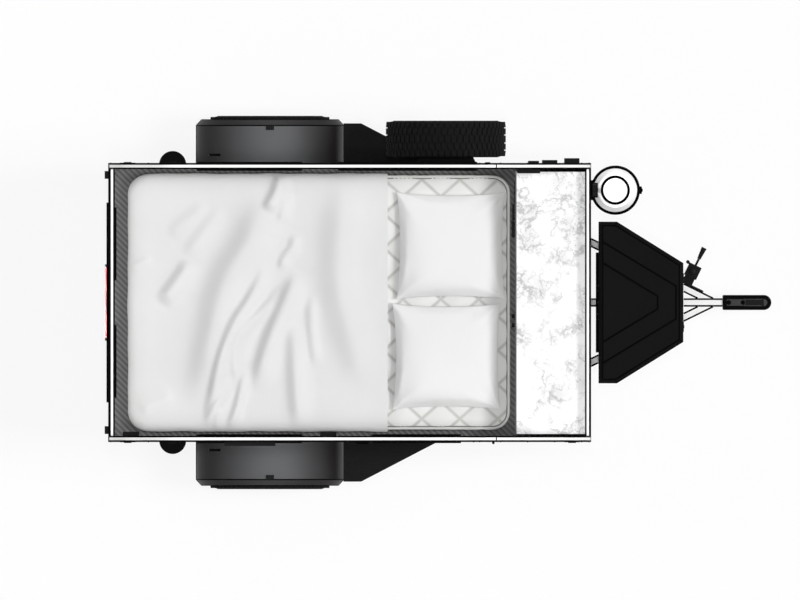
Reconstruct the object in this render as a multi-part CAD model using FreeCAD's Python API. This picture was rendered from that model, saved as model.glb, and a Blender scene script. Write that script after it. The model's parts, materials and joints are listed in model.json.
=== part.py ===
import FreeCAD, Part
import math
import os

Vector = FreeCAD.Vector

# Teardrop trailer, in millimetres. +X is forward, +Y the trailer's left side, +Z up.
# The origin is on the ground, midway between the tail lamps and the coupler's nose.

# Overall
body_length = 2889.0
tongue_length = 1084.0
tail_lamp_depth = 27.0
body_width = 1668.0
deck_height = 520.0
wall_height = 1310.0
wall_thickness = 34.0
floor_thickness = 32.0
running_gap = 0.3

# Side profile
rear_roof_radius = 380.0
roof_fall = 25.0
nose_knee_height = 660.0
nose_knee_radius = 450.0
nose_brow_back = 436.0
nose_brow_radius = 600.0
seam_back = 567.0
seam_width = 4.0
trim_width = 20.0
trim_outer = 8.0
trim_inner = 10.0
front_wall_height = 530.0

# Chassis
rail_width = 50.8
rail_height = 76.2
tube_wall = 4.0
rail_spacing = 1120.0
rail_end_gap = 40.0
crossmember_count = 6
outrigger_count = 3

# Tongue and coupler
arm_angle = 26.0
arm_meet_gap = 45.0
coupler_length = 293.0
coupler_width = 90.0
coupler_rise = 12.0
coupler_drop = 10.0
coupler_grip = 93.0
coupler_corner = 8.0
coupler_channel_width = 40.0
coupler_channel_depth = 3.0
ball_radius = 25.4
ball_clearance = 0.2
ball_depth = 46.0
latch_length = 105.0
latch_width = 32.0
latch_height = 30.0
latch_tip_height = 12.0
latch_nose_gap = 48.0

# Wheels
tyre_radius = 360.0
tyre_width = 220.0
tread_shoulder_width = 16.0
tread_shoulder_drop = 17.0
tread_thickness = 20.0
bead_thickness = 14.0
bead_guard = 23.0
seat_gap = 0.4
rim_radius = 190.5
rim_width = 166.0
rim_lip = 14.0
rim_sheet = 5.0
disc_thickness = 8.0
disc_hole = 42.0
disc_windows = 8
window_inner_ring = 92.0
window_outer_ring = 150.0
window_foot = 26.0
window_head = 66.0

# Axle
axle_back = 1924.0
wheel_gap = 66.0
trailing_arm_run = 140.0
trailing_arm_rise = 40.0
beam_side = 76.0
beam_wall = 6.0
beam_end_gap = 54.0
bracket_length = 220.0
bracket_sheet = 6.0
bracket_ear_drop = 48.0
arm_thickness = 38.0
arm_pivot_radius = 52.0
arm_boss_radius = 36.0
spindle_radius = 20.0
spindle_root_radius = 30.0
spindle_tip = 22.0
drum_radius = 127.0
drum_depth = 64.0
drum_gap = 4.0
hub_radius = 40.0
hub_reach = 40.0
hub_cap = 6.0

# Fenders and steps
fender_clearance = 81.0
tyre_past_fender = 21.0
fender_shoulder = 37.0
fender_shoulder_drop = 31.0
fender_lip = 18.0
fender_sheet = 5.0
fender_slot_back = 366.0
fender_slot_length = 66.0
fender_slot_side = 46.0
fender_slot_width = 11.0
step_reach = 241.0
step_tread = 106.0
step_run = 570.0
step_rise = 25.0
step_sheet = 5.0
step_skirt = 45.0
step_bracket_width = 40.0
step_bracket_height = 10.0
step_bracket_inset = 14.0
step_post_gap = 10.0
step_bracket_rear = 90.0
step_bracket_front = 330.0

# Windows in the walls
window_frame_width = 28.0
window_proud = 10.0
window_corner = 60.0
pane_thickness = 6.0
rear_window_back = 525.0
rear_window_length = 634.0
rear_window_lift = 600.0
rear_window_height = 400.0
front_window_back = 1371.0
front_window_length = 838.0
front_window_lift = 800.0
front_window_height = 320.0

# Entry door
door_gap = 8.0
door_width = 918.0
door_head = 140.0
door_sill = 60.0
door_edge_back = 588.0
door_top_corner = 140.0
door_foot_corner = 80.0
door_window_side = 190.0
door_window_head = 110.0
door_window_height = 360.0
latch_plate_back = 83.0
latch_plate_lift = 420.0
latch_plate_width = 103.0
latch_plate_height = 90.0
latch_plate_sheet = 6.0
latch_paddle_inset = 15.0
latch_paddle_depth = 10.0

# Rear hatch
hatch_side = 107.0
hatch_height = 724.0
hatch_sill = 143.0
hatch_corner = 35.0
hatch_pane_width = 438.0
hatch_pane_height = 330.0
hatch_pane_offset = 352.0
hatch_pane_lift = 260.0
hatch_handle_width = 140.0
hatch_handle_height = 36.0
hatch_handle_depth = 18.0
hatch_handle_lift = 60.0
rear_frame_head = 67.0

# Hinges
knuckle_radius = 8.0
pin_radius = 4.0
leaf_width = 38.0
leaf_sheet = 3.0
door_hinge_length = 900.0
hatch_hinge_length = 1200.0
lid_hinge_length = 600.0

# Lamps
light_bar_length = 458.0
light_bar_height = 40.0
light_bar_depth = 25.0
light_bar_lift = 42.0
lamp_frame = 8.0
light_bar_end = 16.0
tail_lamp_width = 47.0
tail_lamp_height = 180.0
tail_lamp_lift = 190.0
tail_lamp_side_gap = 45.0
marker_length = 92.0
marker_height = 32.0
marker_depth = 5.0
marker_bump = 9.0
marker_lift = 164.0
marker_end_gap = 65.0
fender_lamp_length = 48.0
fender_lamp_width = 27.0
fender_lamp_height = 12.0
porch_lamp_back = 691.0
porch_lamp_length = 306.0
porch_lamp_height = 40.0
porch_lamp_depth = 27.0
porch_lamp_lift = 1080.0

# Spare wheel
spare_back = 869.0
spare_stand_off = 37.0
spare_lift = 412.0
carrier_foot = 366.0
carrier_head = 330.0
carrier_sheet = 8.0
carrier_post = 56.0
carrier_plate = 150.0
carrier_post_tip = 40.0

# Tongue box
box_gap = 47.0
box_rear_width = 970.0
box_front_width = 474.0
box_straight = 111.0
box_height = 380.0
box_sheet = 4.0
lid_height = 40.0
lid_bevel = 27.0
lid_bevel_drop = 12.0
lid_seat = 0.5
lid_rib_width = 8.0
lid_rib_height = 3.0
lid_rib_gap = 5.0
outer_rib_rear = 366.0
outer_rib_front = 101.0
outer_rib_nose_gap = 40.0
inner_rib_rear = 240.0
inner_rib_front = 40.0
inner_rib_nose_gap = 150.0

# Gas cylinder
cylinder_radius = 145.0
cylinder_height = 300.0
cylinder_gap = 3.0
cylinder_side = 674.0
cylinder_wall = 4.0
foot_radius = 95.0
foot_height = 14.0
dome_height = 34.0
dome_radius = 104.0
neck_radius = 12.0
collar_radius = 83.0
collar_sheet = 4.0
collar_height = 110.0
collar_window_width = 110.0
collar_window_edge = 20.0
collar_cap_sheet = 3.0
collar_cap_drop = 8.0
tray_sheet = 8.0
tray_lip = 10.0
tray_bar_width = 40.0
tray_bar_offset = 40.0
valve_radius = 16.0
valve_height = 75.0
outlet_height = 55.0
outlet_radius = 11.0
outlet_length = 105.0
hand_wheel_radius = 44.0
hand_wheel_scallop = 7.0
hand_wheel_depth = 32.0
hand_wheel_lobes = 8

# Jack
jack_back = 133.0
box_to_jack = 57.0
jack_offset = 113.0
jack_outer_radius = 28.5
jack_inner_radius = 23.0
slide_gap = 0.4
jack_top = 660.0
jack_sleeve_bottom = 300.0
jack_leg_overlap = 60.0
jack_head = 80.0
jack_head_height = 70.0
jack_foot = 76.0
foot_thickness = 12.0
jack_plate_rear = 42.0
jack_plate_front = 110.0
jack_plate_sheet = 10.0
jack_plate_drop = 15.0
jack_boss_width = 64.0
crank_radius = 7.0
crank_reach = 30.0
crank_throw = 130.0
crank_splay = 18.0
grip_length = 75.0
grip_radius = 17.5
grip_root_radius = 11.0

# Rear stabilisers
stabiliser_back = 381.0
stabiliser_side_gap = 6.0
stabiliser_pad = 81.0
leg_side = 34.0
sleeve_sheet = 4.0
sleeve_length = 230.0
leg_overlap = 50.0
hanger_height = 50.0

# Counter across the nose
counter_length = 411.0
counter_thickness = 30.0
counter_height = 420.0
counter_side_gap = 11.0
worktop_side_gap = 16.0
cabinet_set_back = 8.0
panel_thickness = 18.0

# Bed
mattress_width = 1524.0
mattress_thickness = 130.0
mattress_gap = 32.0
mattress_rear_gap = 108.0
mattress_corner = 105.0
blanket_length = 1551.0
blanket_overhang = 14.0
blanket_rear_overhang = 20.0
blanket_thickness = 22.0
blanket_corner = 120.0
blanket_hem_lift = 10.0
pillow_side = 640.0
pillow_waist = 22.0
pillow_side_steps = 4
pillow_levels = [(0.0, 0.88), (50.0, 1.0), (112.0, 0.88), (150.0, 0.6)]
left_pillow_back = 347.0
left_pillow_side = 336.0
right_pillow_back = 370.0
right_pillow_side = 324.0
soft_gap = 0.4

# Small fittings: distances from the wall or the front, sizes and depths
fitting_lift = 250.0
fitting_height = 80.0
fittings_on_cabinet = [(75.0, 133.0, 7.0), (210.0, 97.0, 17.0), (312.0, 98.0, 19.0)]
knob_radius = 12.0
knob_depth = 20.0
knob_places = [82.0, 137.0]
wall_box_gap = 4.0
wall_box_length = 139.0
wall_box_depth = 25.0
wall_box_lift = 120.0
reading_lamp_length = 98.0
reading_lamp_height = 70.0
reading_lamp_lift = 330.0
reading_lamp_backs = [82.0, 1266.0]
inlet_lift = 200.0
inlets = [(159.0, 92.0, 32.0), (292.0, 92.0, 21.0), (376.0, 66.0, 16.0), (634.0, 32.0, 8.0)]

overall_length = tail_lamp_depth + body_length + tongue_length
nose_x = overall_length / 2
front_x = nose_x - tongue_length
rear_x = front_x - body_length
side_y = body_width / 2
inner_y = side_y - wall_thickness
floor_top = deck_height + floor_thickness
wall_top = deck_height + wall_height
axle_x = front_x - axle_back
axle_z = tyre_radius
wheel_y = side_y + wheel_gap + tyre_width / 2
rail_top = deck_height
rail_bottom = rail_top - rail_height
rail_y = rail_spacing / 2
rail_in = rail_y - rail_width / 2
rail_out = rail_y + rail_width / 2
tongue_top = rail_bottom
tongue_bottom = tongue_top - rail_height
knuckle_seat = knuckle_radius + running_gap
seam_x = front_x - seam_back
counter_top = floor_top + counter_height
mattress_base = floor_top + soft_gap
mattress_top = mattress_base + mattress_thickness

nodes = {}


def node(name, *shapes):
    """Keep the solids of one named piece."""
    nodes.setdefault(name, []).extend(shapes)


def box(x0, x1, y0, y1, z0, z1):
    """An upright box between two corners, given in any order."""
    low = Vector(min(x0, x1), min(y0, y1), min(z0, z1))
    return Part.makeBox(abs(x1 - x0), abs(y1 - y0), abs(z1 - z0), low)


def mirrored(shape):
    """The same shape on the trailer's other side."""
    return shape.mirror(Vector(0, 0, 0), Vector(0, 1, 0))


def both_sides(shape):
    return [shape, mirrored(shape)]


def in_plane(axis, level):
    """A function that places a flat point (u, v) in the plane square to an axis."""
    if axis == "x":
        return lambda u, v: Vector(level, u, v)
    if axis == "y":
        return lambda u, v: Vector(u, level, v)
    return lambda u, v: Vector(u, v, level)


def rounded_wire(points, radii, place):
    """A closed outline through corner points, each corner a tangent arc of its own radius."""
    count = len(points)
    if not isinstance(radii, (list, tuple)):
        radii = [radii] * count
    starts, ends, arcs = [], [], []
    for i in range(count):
        px, py = points[i - 1]
        cx, cy = points[i]
        nx, ny = points[(i + 1) % count]
        before = math.hypot(px - cx, py - cy)
        after = math.hypot(nx - cx, ny - cy)
        ax, ay = (px - cx) / before, (py - cy) / before
        bx, by = (nx - cx) / after, (ny - cy) / after
        radius = radii[i]
        if radius <= 0:
            starts.append((cx, cy))
            ends.append((cx, cy))
            arcs.append(None)
            continue
        half = math.acos(max(-1.0, min(1.0, ax * bx + ay * by))) / 2
        run = radius / math.tan(half)
        mx, my = ax + bx, ay + by
        size = math.hypot(mx, my)
        reach = radius / math.sin(half) - radius
        starts.append((cx + ax * run, cy + ay * run))
        ends.append((cx + bx * run, cy + by * run))
        arcs.append((cx + mx / size * reach, cy + my / size * reach))
    edges = []
    for i in range(count):
        if arcs[i]:
            edges.append(Part.Arc(place(*starts[i]), place(*arcs[i]), place(*ends[i])).toShape())
        here, there = place(*ends[i]), place(*starts[(i + 1) % count])
        if here.distanceToPoint(there) > 1e-6:
            edges.append(Part.LineSegment(here, there).toShape())
    return Part.Wire(edges)


def plate(axis, start, end, points, radii=0.0):
    """A flat outline given as corners, thickened along an axis from start to end."""
    face = Part.Face(rounded_wire(points, radii, in_plane(axis, start)))
    direction = {"x": Vector(1, 0, 0), "y": Vector(0, 1, 0), "z": Vector(0, 0, 1)}[axis]
    return face.extrude(direction * (end - start))


def rectangle(u0, u1, v0, v1):
    return [(u0, v0), (u1, v0), (u1, v1), (u0, v1)]


def inset(points, distance):
    """The same anticlockwise convex outline with every side moved inwards."""
    sides = []
    count = len(points)
    for i in range(count):
        (x0, y0), (x1, y1) = points[i], points[(i + 1) % count]
        size = math.hypot(x1 - x0, y1 - y0)
        ux, uy = (x1 - x0) / size, (y1 - y0) / size
        sides.append((x0 - uy * distance, y0 + ux * distance, ux, uy))
    moved = []
    for i in range(count):
        ax, ay, aux, auy = sides[i - 1]
        bx, by, bux, buy = sides[i]
        cross = aux * buy - auy * bux
        step = ((bx - ax) * buy - (by - ay) * bux) / cross
        moved.append((ax + aux * step, ay + auy * step))
    return moved


def less(radii, distance):
    return [max(r - distance, 0.0) for r in radii]


def turned(points, centre_x, centre_z, angle=360.0, start=0.0):
    """An outline of (y, radius) corners, spun about a cross axis through (x, z)."""
    def place(y, r):
        return Vector(centre_x, y, centre_z + r)
    face = Part.Face(rounded_wire(points, 0.0, place))
    centre = Vector(centre_x, 0, centre_z)
    if start:
        face.rotate(centre, Vector(0, 1, 0), start)
    return face.revolve(centre, Vector(0, 1, 0), angle)


def upright(points, centre_x, centre_y):
    """An outline of (radius, z) corners, spun about an upright axis."""
    def place(r, z):
        return Vector(centre_x + r, centre_y, z)
    face = Part.Face(rounded_wire(points, 0.0, place))
    return face.revolve(Vector(centre_x, centre_y, 0), Vector(0, 0, 1), 360.0)


def taper(first, last):
    """A flat-sided solid between two parallel outlines with as many corners, as lists of points."""
    count = len(first)
    faces = [Part.Face(Part.makePolygon(ring + ring[:1])) for ring in (first, last)]
    for i in range(count):
        j = (i + 1) % count
        faces.append(Part.Face(Part.makePolygon([first[i], first[j], last[j], last[i], first[i]])))
    solid = Part.Solid(Part.Shell(faces))
    if solid.Volume < 0:
        solid.reverse()
    return solid


def rod(start, end, radius):
    run = end.sub(start)
    return Part.makeCylinder(radius, run.Length, start, run)


def hollow_bar(x0, x1, y0, y1, z0, z1, along):
    """A rectangular tube with open ends, lying along x or y."""
    inner = tube_wall
    outside = box(x0, x1, y0, y1, z0, z1)
    if along == "x":
        return outside.cut(box(x0, x1, y0 + inner, y1 - inner, z0 + inner, z1 - inner))
    return outside.cut(box(x0 + inner, x1 - inner, y0, y1, z0 + inner, z1 - inner))


# Chassis rails, crossmembers and outriggers
rail_rear = rear_x + rail_end_gap
rail_front = front_x - rail_end_gap
left_rail = hollow_bar(rail_rear, rail_front, rail_in, rail_out, rail_bottom, rail_top, "x")
node("chassis_rails", *both_sides(left_rail))

crossmember_pitch = (rail_front - rail_rear - rail_width) / (crossmember_count - 1)
for i in range(crossmember_count):
    x = rail_rear + i * crossmember_pitch
    bar = hollow_bar(x, x + rail_width, -rail_in, rail_in, rail_bottom, rail_top, "y")
    node("chassis_crossmembers", bar)

outrigger_pitch = (rail_front - rail_rear - rail_width) / (outrigger_count - 1)
for i in range(outrigger_count):
    x = rail_rear + i * outrigger_pitch
    arm = hollow_bar(x, x + rail_width, rail_out, inner_y, rail_bottom, rail_top, "y")
    node("chassis_crossmembers", *both_sides(arm))

# Tongue: two arms run under the rails and meet the centre tube just behind the coupler
coupler_rear = nose_x - coupler_length
tongue_end = coupler_rear + coupler_grip
meet_x = coupler_rear - arm_meet_gap
lean = math.radians(arm_angle)
slope = math.tan(lean)
arm_at_wall = rail_width / 2 - rail_width / 2 / math.cos(lean) + slope * (meet_x - front_x)
arm_rear_x = front_x - (rail_y - arm_at_wall) / slope
arm_length = (rail_y / slope + rail_width) / math.cos(lean)
outside = Part.makeBox(arm_length, rail_width, rail_height, Vector(0, -rail_width / 2, tongue_bottom))
hollow = Part.makeBox(
    arm_length, rail_width - 2 * tube_wall, rail_height - 2 * tube_wall,
    Vector(0, -rail_width / 2 + tube_wall, tongue_bottom + tube_wall),
)
left_arm = outside.cut(hollow)
left_arm.rotate(Vector(0, 0, 0), Vector(0, 0, 1), -arm_angle)
left_arm.translate(Vector(arm_rear_x, rail_y, 0))
left_arm = left_arm.cut(
    box(rear_x, nose_x, -rail_spacing, rail_width / 2, tongue_bottom, tongue_top)
)
node("tongue_arms", *both_sides(left_arm))
node(
    "tongue_tube",
    hollow_bar(arm_rear_x, tongue_end, -rail_width / 2, rail_width / 2, tongue_bottom, tongue_top, "x"),
)

# Coupler: a cast housing over the tube's end, with the ball socket in its round nose
coupler_y = coupler_width / 2
ball_x = nose_x - coupler_y
coupler_top = tongue_top + coupler_rise
coupler_bottom = tongue_bottom + coupler_drop
nose_radius = coupler_y - 0.01
housing = plate(
    "z", coupler_bottom, coupler_top,
    rectangle(coupler_rear, nose_x, -coupler_y, coupler_y),
    [coupler_corner, nose_radius, nose_radius, coupler_corner],
)
mouth_y = rail_width / 2 + running_gap
housing = housing.cut(
    box(coupler_rear, tongue_end + bracket_sheet, -mouth_y, mouth_y, coupler_bottom, tongue_top)
)
latch_front = nose_x - latch_nose_gap
latch_rear = latch_front - latch_length
channel_y = coupler_channel_width / 2
housing = housing.cut(
    box(
        coupler_rear, latch_rear - bracket_sheet, -channel_y,
        channel_y, coupler_top - coupler_channel_depth, coupler_top
    )
)
socket_radius = ball_radius + ball_clearance
socket = Part.makeCylinder(socket_radius, ball_depth, Vector(ball_x, 0, coupler_bottom))
node("coupler_housing", housing.cut(socket))
latch = plate(
    "y", -latch_width / 2, latch_width / 2,
    [
        (latch_rear, coupler_top), (latch_front, coupler_top), (latch_front, coupler_top + latch_tip_height),
        (latch_rear + latch_length / 2, coupler_top + 2 * latch_tip_height),
        (latch_rear, coupler_top + latch_height),
    ],
)
node("coupler_latch", latch)

# Torsion axle: square beam on two brackets, trailing arms with the spindles
beam_x = axle_x + trailing_arm_run
beam_z = axle_z + trailing_arm_rise
beam_half = beam_side / 2
beam_end = side_y - beam_end_gap
beam = box(
    beam_x - beam_half, beam_x + beam_half, -beam_end, beam_end, beam_z - beam_half, beam_z + beam_half
)
bore = beam_half - beam_wall
beam = beam.cut(box(beam_x - bore, beam_x + bore, -beam_end, beam_end, beam_z - bore, beam_z + bore))
saddle = box(
    beam_x - bracket_length / 2, beam_x + bracket_length / 2,
    rail_in, rail_out, beam_z + beam_half, rail_bottom
)
ear = beam_half + bracket_sheet
ears = box(
    beam_x - ear, beam_x + ear, rail_in, rail_out, beam_z + beam_half - bracket_ear_drop, beam_z + beam_half
)
node("axle_beam", beam.fuse(both_sides(saddle.fuse(ears).cut(
    box(beam_x - bore, beam_x + bore, rail_in, rail_out, beam_z - bore, beam_z + bore)
))).removeSplitter())

arm_inside = beam_end
arm_outside = arm_inside + arm_thickness
drum_inside = wheel_y - disc_thickness - drum_depth
spindle_step = drum_inside - drum_gap
tilt = math.atan2(trailing_arm_rise, trailing_arm_run)
pivot_side, boss_side = arm_pivot_radius * math.sin(tilt), arm_boss_radius * math.sin(tilt)
pivot_rise, boss_rise = arm_pivot_radius * math.cos(tilt), arm_boss_radius * math.cos(tilt)
arm_web = plate(
    "y", arm_inside, arm_outside,
    [
        (axle_x + boss_side, axle_z - boss_rise), (beam_x + pivot_side, beam_z - pivot_rise),
        (beam_x - pivot_side, beam_z + pivot_rise), (axle_x - boss_side, axle_z + boss_rise),
    ],
)
across = Vector(0, 1, 0)
arm_pivot = Part.makeCylinder(arm_pivot_radius, arm_thickness, Vector(beam_x, arm_inside, beam_z), across)
arm_boss = Part.makeCylinder(arm_boss_radius, arm_thickness, Vector(axle_x, arm_inside, axle_z), across)
spindle = turned(
    [
        (arm_outside, 0), (arm_outside, spindle_root_radius), (spindle_step, spindle_root_radius),
        (spindle_step, spindle_radius), (wheel_y + spindle_tip, spindle_radius), (wheel_y + spindle_tip, 0),
    ],
    axle_x, axle_z,
)
trailing_arm = arm_pivot.fuse([arm_boss, arm_web, spindle]).removeSplitter()
node("trailing_arms", *both_sides(trailing_arm))


def wheel_hub(centre_y, side):
    """Drum and hub barrel, bored for the spindle; side is +1 on the left and -1 on the right."""
    face = centre_y - side * disc_thickness
    inside = face - side * drum_depth
    tip = centre_y + side * hub_reach
    spindle_bore = spindle_radius + running_gap
    return turned(
        [
            (inside, spindle_bore), (inside, drum_radius), (face, drum_radius), (face, hub_radius),
            (tip, hub_radius), (tip, 0.0), (tip - side * hub_cap, 0.0), (tip - side * hub_cap, spindle_bore),
        ],
        axle_x, axle_z,
    )


def wheel_rim(centre_x, centre_y, centre_z, side):
    """A pressed wheel: barrel with a flange on its outer side, and a disc with eight windows."""
    lip = rim_radius + rim_lip
    inside = rim_radius - rim_sheet
    outer_end = centre_y + side * rim_width / 2
    inner_end = centre_y - side * rim_width / 2
    flange = outer_end - side * rim_sheet
    barrel = turned(
        [
            (inner_end, inside), (inner_end, rim_radius), (flange, rim_radius),
            (flange, lip), (outer_end, lip), (outer_end, inside),
        ],
        centre_x, centre_z,
    )
    back = centre_y - side * disc_thickness
    disc = turned(
        [(back, disc_hole), (back, inside), (centre_y, inside), (centre_y, disc_hole)], centre_x, centre_z
    )
    for i in range(disc_windows):
        turn = 2 * math.pi * i / disc_windows
        corners = []
        for ring, offset in (
            (window_inner_ring, -window_foot / 2), (window_inner_ring, window_foot / 2),
            (window_outer_ring, window_head / 2), (window_outer_ring, -window_head / 2),
        ):
            corners.append((
                centre_x + ring * math.sin(turn) + offset * math.cos(turn),
                centre_z + ring * math.cos(turn) - offset * math.sin(turn),
            ))
        disc = disc.cut(plate("y", back, centre_y, corners))
    return barrel.fuse(disc)


def tyre(centre_x, centre_y, centre_z):
    """A carcass with upright sides, sloped shoulders and a flat tread, open at its beads."""
    half = tyre_width / 2
    bead = rim_width / 2 - rim_sheet - seat_gap
    seat = rim_radius + seat_gap
    guard = seat + bead_guard
    tread = half - tread_shoulder_width
    shoulder = tyre_radius - tread_shoulder_drop
    inner_bead = bead - bead_thickness
    inner_radius = tyre_radius - tread_thickness
    section = [
        (-bead, seat), (-bead, guard), (-half, guard), (-half, shoulder), (-tread, tyre_radius),
        (tread, tyre_radius), (half, shoulder), (half, guard), (bead, guard), (bead, seat),
        (inner_bead, seat), (inner_bead, inner_radius), (-inner_bead, inner_radius), (-inner_bead, seat),
    ]
    return turned([(centre_y + y, r) for y, r in section], centre_x, centre_z)


for side, name in ((1, "left"), (-1, "right")):
    node("tyre_" + name, tyre(axle_x, side * wheel_y, axle_z))
    node("rim_" + name, wheel_rim(axle_x, side * wheel_y, axle_z, side))
    node("hub_" + name, wheel_hub(side * wheel_y, side))

# Floor between the walls
node(
    "floor_panel",
    box(rear_x + wall_thickness, front_x - wall_thickness, -inner_y, inner_y, deck_height, floor_top)
)

# Side profile, anticlockwise seen from the right: (x, z) corners and the radius at each
profile = [
    (rear_x, deck_height),
    (front_x, deck_height),
    (front_x, deck_height + nose_knee_height),
    (front_x - nose_brow_back, wall_top - roof_fall),
    (rear_x, wall_top),
]
profile_radii = [0.0, 0.0, nose_knee_radius, nose_brow_radius, rear_roof_radius]


def profile_slab(y0, y1, inwards=0.0):
    return plate("y", y0, y1, inset(profile, inwards), less(profile_radii, inwards))


def profile_ring(y0, y1, width):
    return profile_slab(y0, y1).cut(profile_slab(y0, y1, width))


# Window and door places
rear_window_x = (rear_x + rear_window_back, rear_x + rear_window_back + rear_window_length)
rear_window_z = (deck_height + rear_window_lift, deck_height + rear_window_lift + rear_window_height)
front_window_x = (rear_x + front_window_back, rear_x + front_window_back + front_window_length)
front_window_z = (deck_height + front_window_lift, deck_height + front_window_lift + front_window_height)
door_front = front_x - door_edge_back
door_rear = door_front - door_width
door_bottom = deck_height + door_sill
door_top = wall_top - door_head
door_outline = rectangle(door_rear, door_front, door_bottom, door_top)
door_radii = [door_foot_corner, door_foot_corner, door_top_corner, door_top_corner]
door_opening = rectangle(
    door_rear - door_gap, door_front + door_gap, door_bottom - door_gap, door_top + door_gap
)
door_opening_radii = [r + door_gap for r in door_radii]


def window_hole(y0, y1, xs, zs):
    return plate("y", y0, y1, rectangle(xs[0], xs[1], zs[0], zs[1]), window_corner)


def window_frame(axis, inner, outer, us, vs):
    """A frame that lines the hole and stands proud of both faces of its panel."""
    width = window_frame_width
    ring = plate(axis, inner, outer, rectangle(us[0], us[1], vs[0], vs[1]), window_corner)
    light = rectangle(us[0] + width, us[1] - width, vs[0] + width, vs[1] - width)
    return ring.cut(plate(axis, inner, outer, light, window_corner - width))


def window_pane(axis, middle, us, vs):
    width = window_frame_width
    light = rectangle(us[0] + width, us[1] - width, vs[0] + width, vs[1] - width)
    return plate(axis, middle - pane_thickness / 2, middle + pane_thickness / 2, light, window_corner - width)


# Side walls: full profile, rebated at the rim for the trims, split at the seam
left_wall = profile_slab(inner_y, side_y)
outer_rebate = profile_ring(side_y - trim_outer, side_y, trim_width)
inner_rebate = profile_ring(inner_y, inner_y + trim_inner, trim_width)
left_wall = left_wall.cut(outer_rebate).cut(inner_rebate)
right_wall = mirrored(left_wall)

left_wall = left_wall.cut(window_hole(inner_y, side_y, rear_window_x, rear_window_z))
left_wall = left_wall.cut(window_hole(inner_y, side_y, front_window_x, front_window_z))
right_wall = right_wall.cut(window_hole(-side_y, -inner_y, rear_window_x, rear_window_z))
right_wall = right_wall.cut(plate("y", -side_y, -inner_y, door_opening, door_opening_radii))

rear_part = box(rear_x, seam_x - seam_width / 2, -side_y, side_y, deck_height, wall_top)
nose_part = box(seam_x + seam_width / 2, front_x, -side_y, side_y, deck_height, wall_top)
node("side_wall_left", left_wall.common(rear_part))
node("side_wall_right", right_wall.common(rear_part))
node("nose_walls", left_wall.common(nose_part))
node("nose_walls", right_wall.common(nose_part))

seam_strip = profile_slab(inner_y + trim_inner, side_y - trim_outer).common(
    box(seam_x - seam_width / 2, seam_x + seam_width / 2, -side_y, side_y, deck_height, wall_top)
)
trim_left = outer_rebate.fuse([inner_rebate, seam_strip])
node("wall_trim", *both_sides(trim_left))

# Front wall and the rear frame round the hatch
node(
    "front_wall",
    box(front_x - wall_thickness, front_x, -inner_y, inner_y, deck_height, deck_height + front_wall_height),
)
hatch_bottom = deck_height + hatch_sill
hatch_top = hatch_bottom + hatch_height
hatch_half = side_y - hatch_side
hatch_outline = rectangle(-hatch_half, hatch_half, hatch_bottom, hatch_top)
hatch_opening = rectangle(
    -hatch_half - door_gap, hatch_half + door_gap, hatch_bottom - door_gap, hatch_top + door_gap
)
rear_inside = rear_x + wall_thickness
rear_frame = box(rear_x, rear_inside, -inner_y, inner_y, deck_height, hatch_top + rear_frame_head)
rear_frame = rear_frame.cut(plate("x", rear_x, rear_inside, hatch_opening, hatch_corner + door_gap))
node("rear_frame", rear_frame)

# Windows in the side walls
wall_middle = side_y - wall_thickness / 2
frame_inner, frame_outer = inner_y - window_proud, side_y + window_proud
for side, xs, zs in (
    (1, rear_window_x, rear_window_z), (1, front_window_x, front_window_z),
    (-1, rear_window_x, rear_window_z),
):
    node("window_frames", window_frame("y", side * frame_inner, side * frame_outer, xs, zs))
    node("window_panes", window_pane("y", side * wall_middle, xs, zs))


def hinge(centre, along, across, side_out, length, fixed, moving):
    """One long butt hinge: the fixed half holds the pin and both end knuckles.

    along runs down the pin, across points from the pin to the moving leaf and side_out away
    from the faces that both leaves lie on."""
    half = length / 2
    third = length / 6

    def leaf(start, stop, direction):
        first = centre + along * start - side_out * knuckle_seat
        second = first + direction * leaf_width
        corners = [first, second, second + side_out * leaf_sheet, first + side_out * leaf_sheet, first]
        return Part.Face(Part.makePolygon(corners)).extrude(along * (stop - start))

    def knuckle(start, stop):
        return Part.makeCylinder(knuckle_radius, stop - start, centre + along * start, along)

    pin = Part.makeCylinder(pin_radius, length, centre - along * half, along)
    pieces = []
    for start, stop in ((-half, -third - running_gap), (third + running_gap, half)):
        pieces += [knuckle(start, stop), leaf(start, stop, across * -1.0)]
    node(fixed, pin.fuse(pieces).removeSplitter())
    bore = Part.makeCylinder(pin_radius + running_gap, 2 * third, centre - along * third, along)
    moving_half = knuckle(-third, third).fuse(leaf(-third, third, across)).cut(bore)
    node(moving, moving_half.removeSplitter())


# Entry door on the right: leaf with its own window, hinged along its front edge
door_leaf = plate("y", -side_y, -inner_y, door_outline, door_radii)
door_window_x = (door_rear + door_window_side, door_front - door_window_side)
door_window_z = (door_top - door_window_head - door_window_height, door_top - door_window_head)
door_leaf = door_leaf.cut(window_hole(-side_y, -inner_y, door_window_x, door_window_z))
node("door_leaf", door_leaf)
node("door_window", window_frame("y", -frame_inner, -frame_outer, door_window_x, door_window_z))
node("door_pane", window_pane("y", -wall_middle, door_window_x, door_window_z))
latch_x0 = door_rear + latch_plate_back
latch_x1 = latch_x0 + latch_plate_width
latch_z0 = door_bottom + latch_plate_lift
latch_z1 = latch_z0 + latch_plate_height
latch_face = -side_y - latch_plate_sheet
latch_plate = box(latch_x0, latch_x1, latch_face, -side_y, latch_z0, latch_z1)
latch_paddle = box(
    latch_x0 + latch_paddle_inset, latch_x1 - latch_paddle_inset, latch_face - latch_paddle_depth, latch_face,
    latch_z0 + latch_paddle_inset, latch_z1 - latch_paddle_inset,
)
node("door_fittings", latch_plate.fuse(latch_paddle).removeSplitter())
door_axis_x = door_front + door_gap / 2
door_axis_y = -side_y - knuckle_seat
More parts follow.
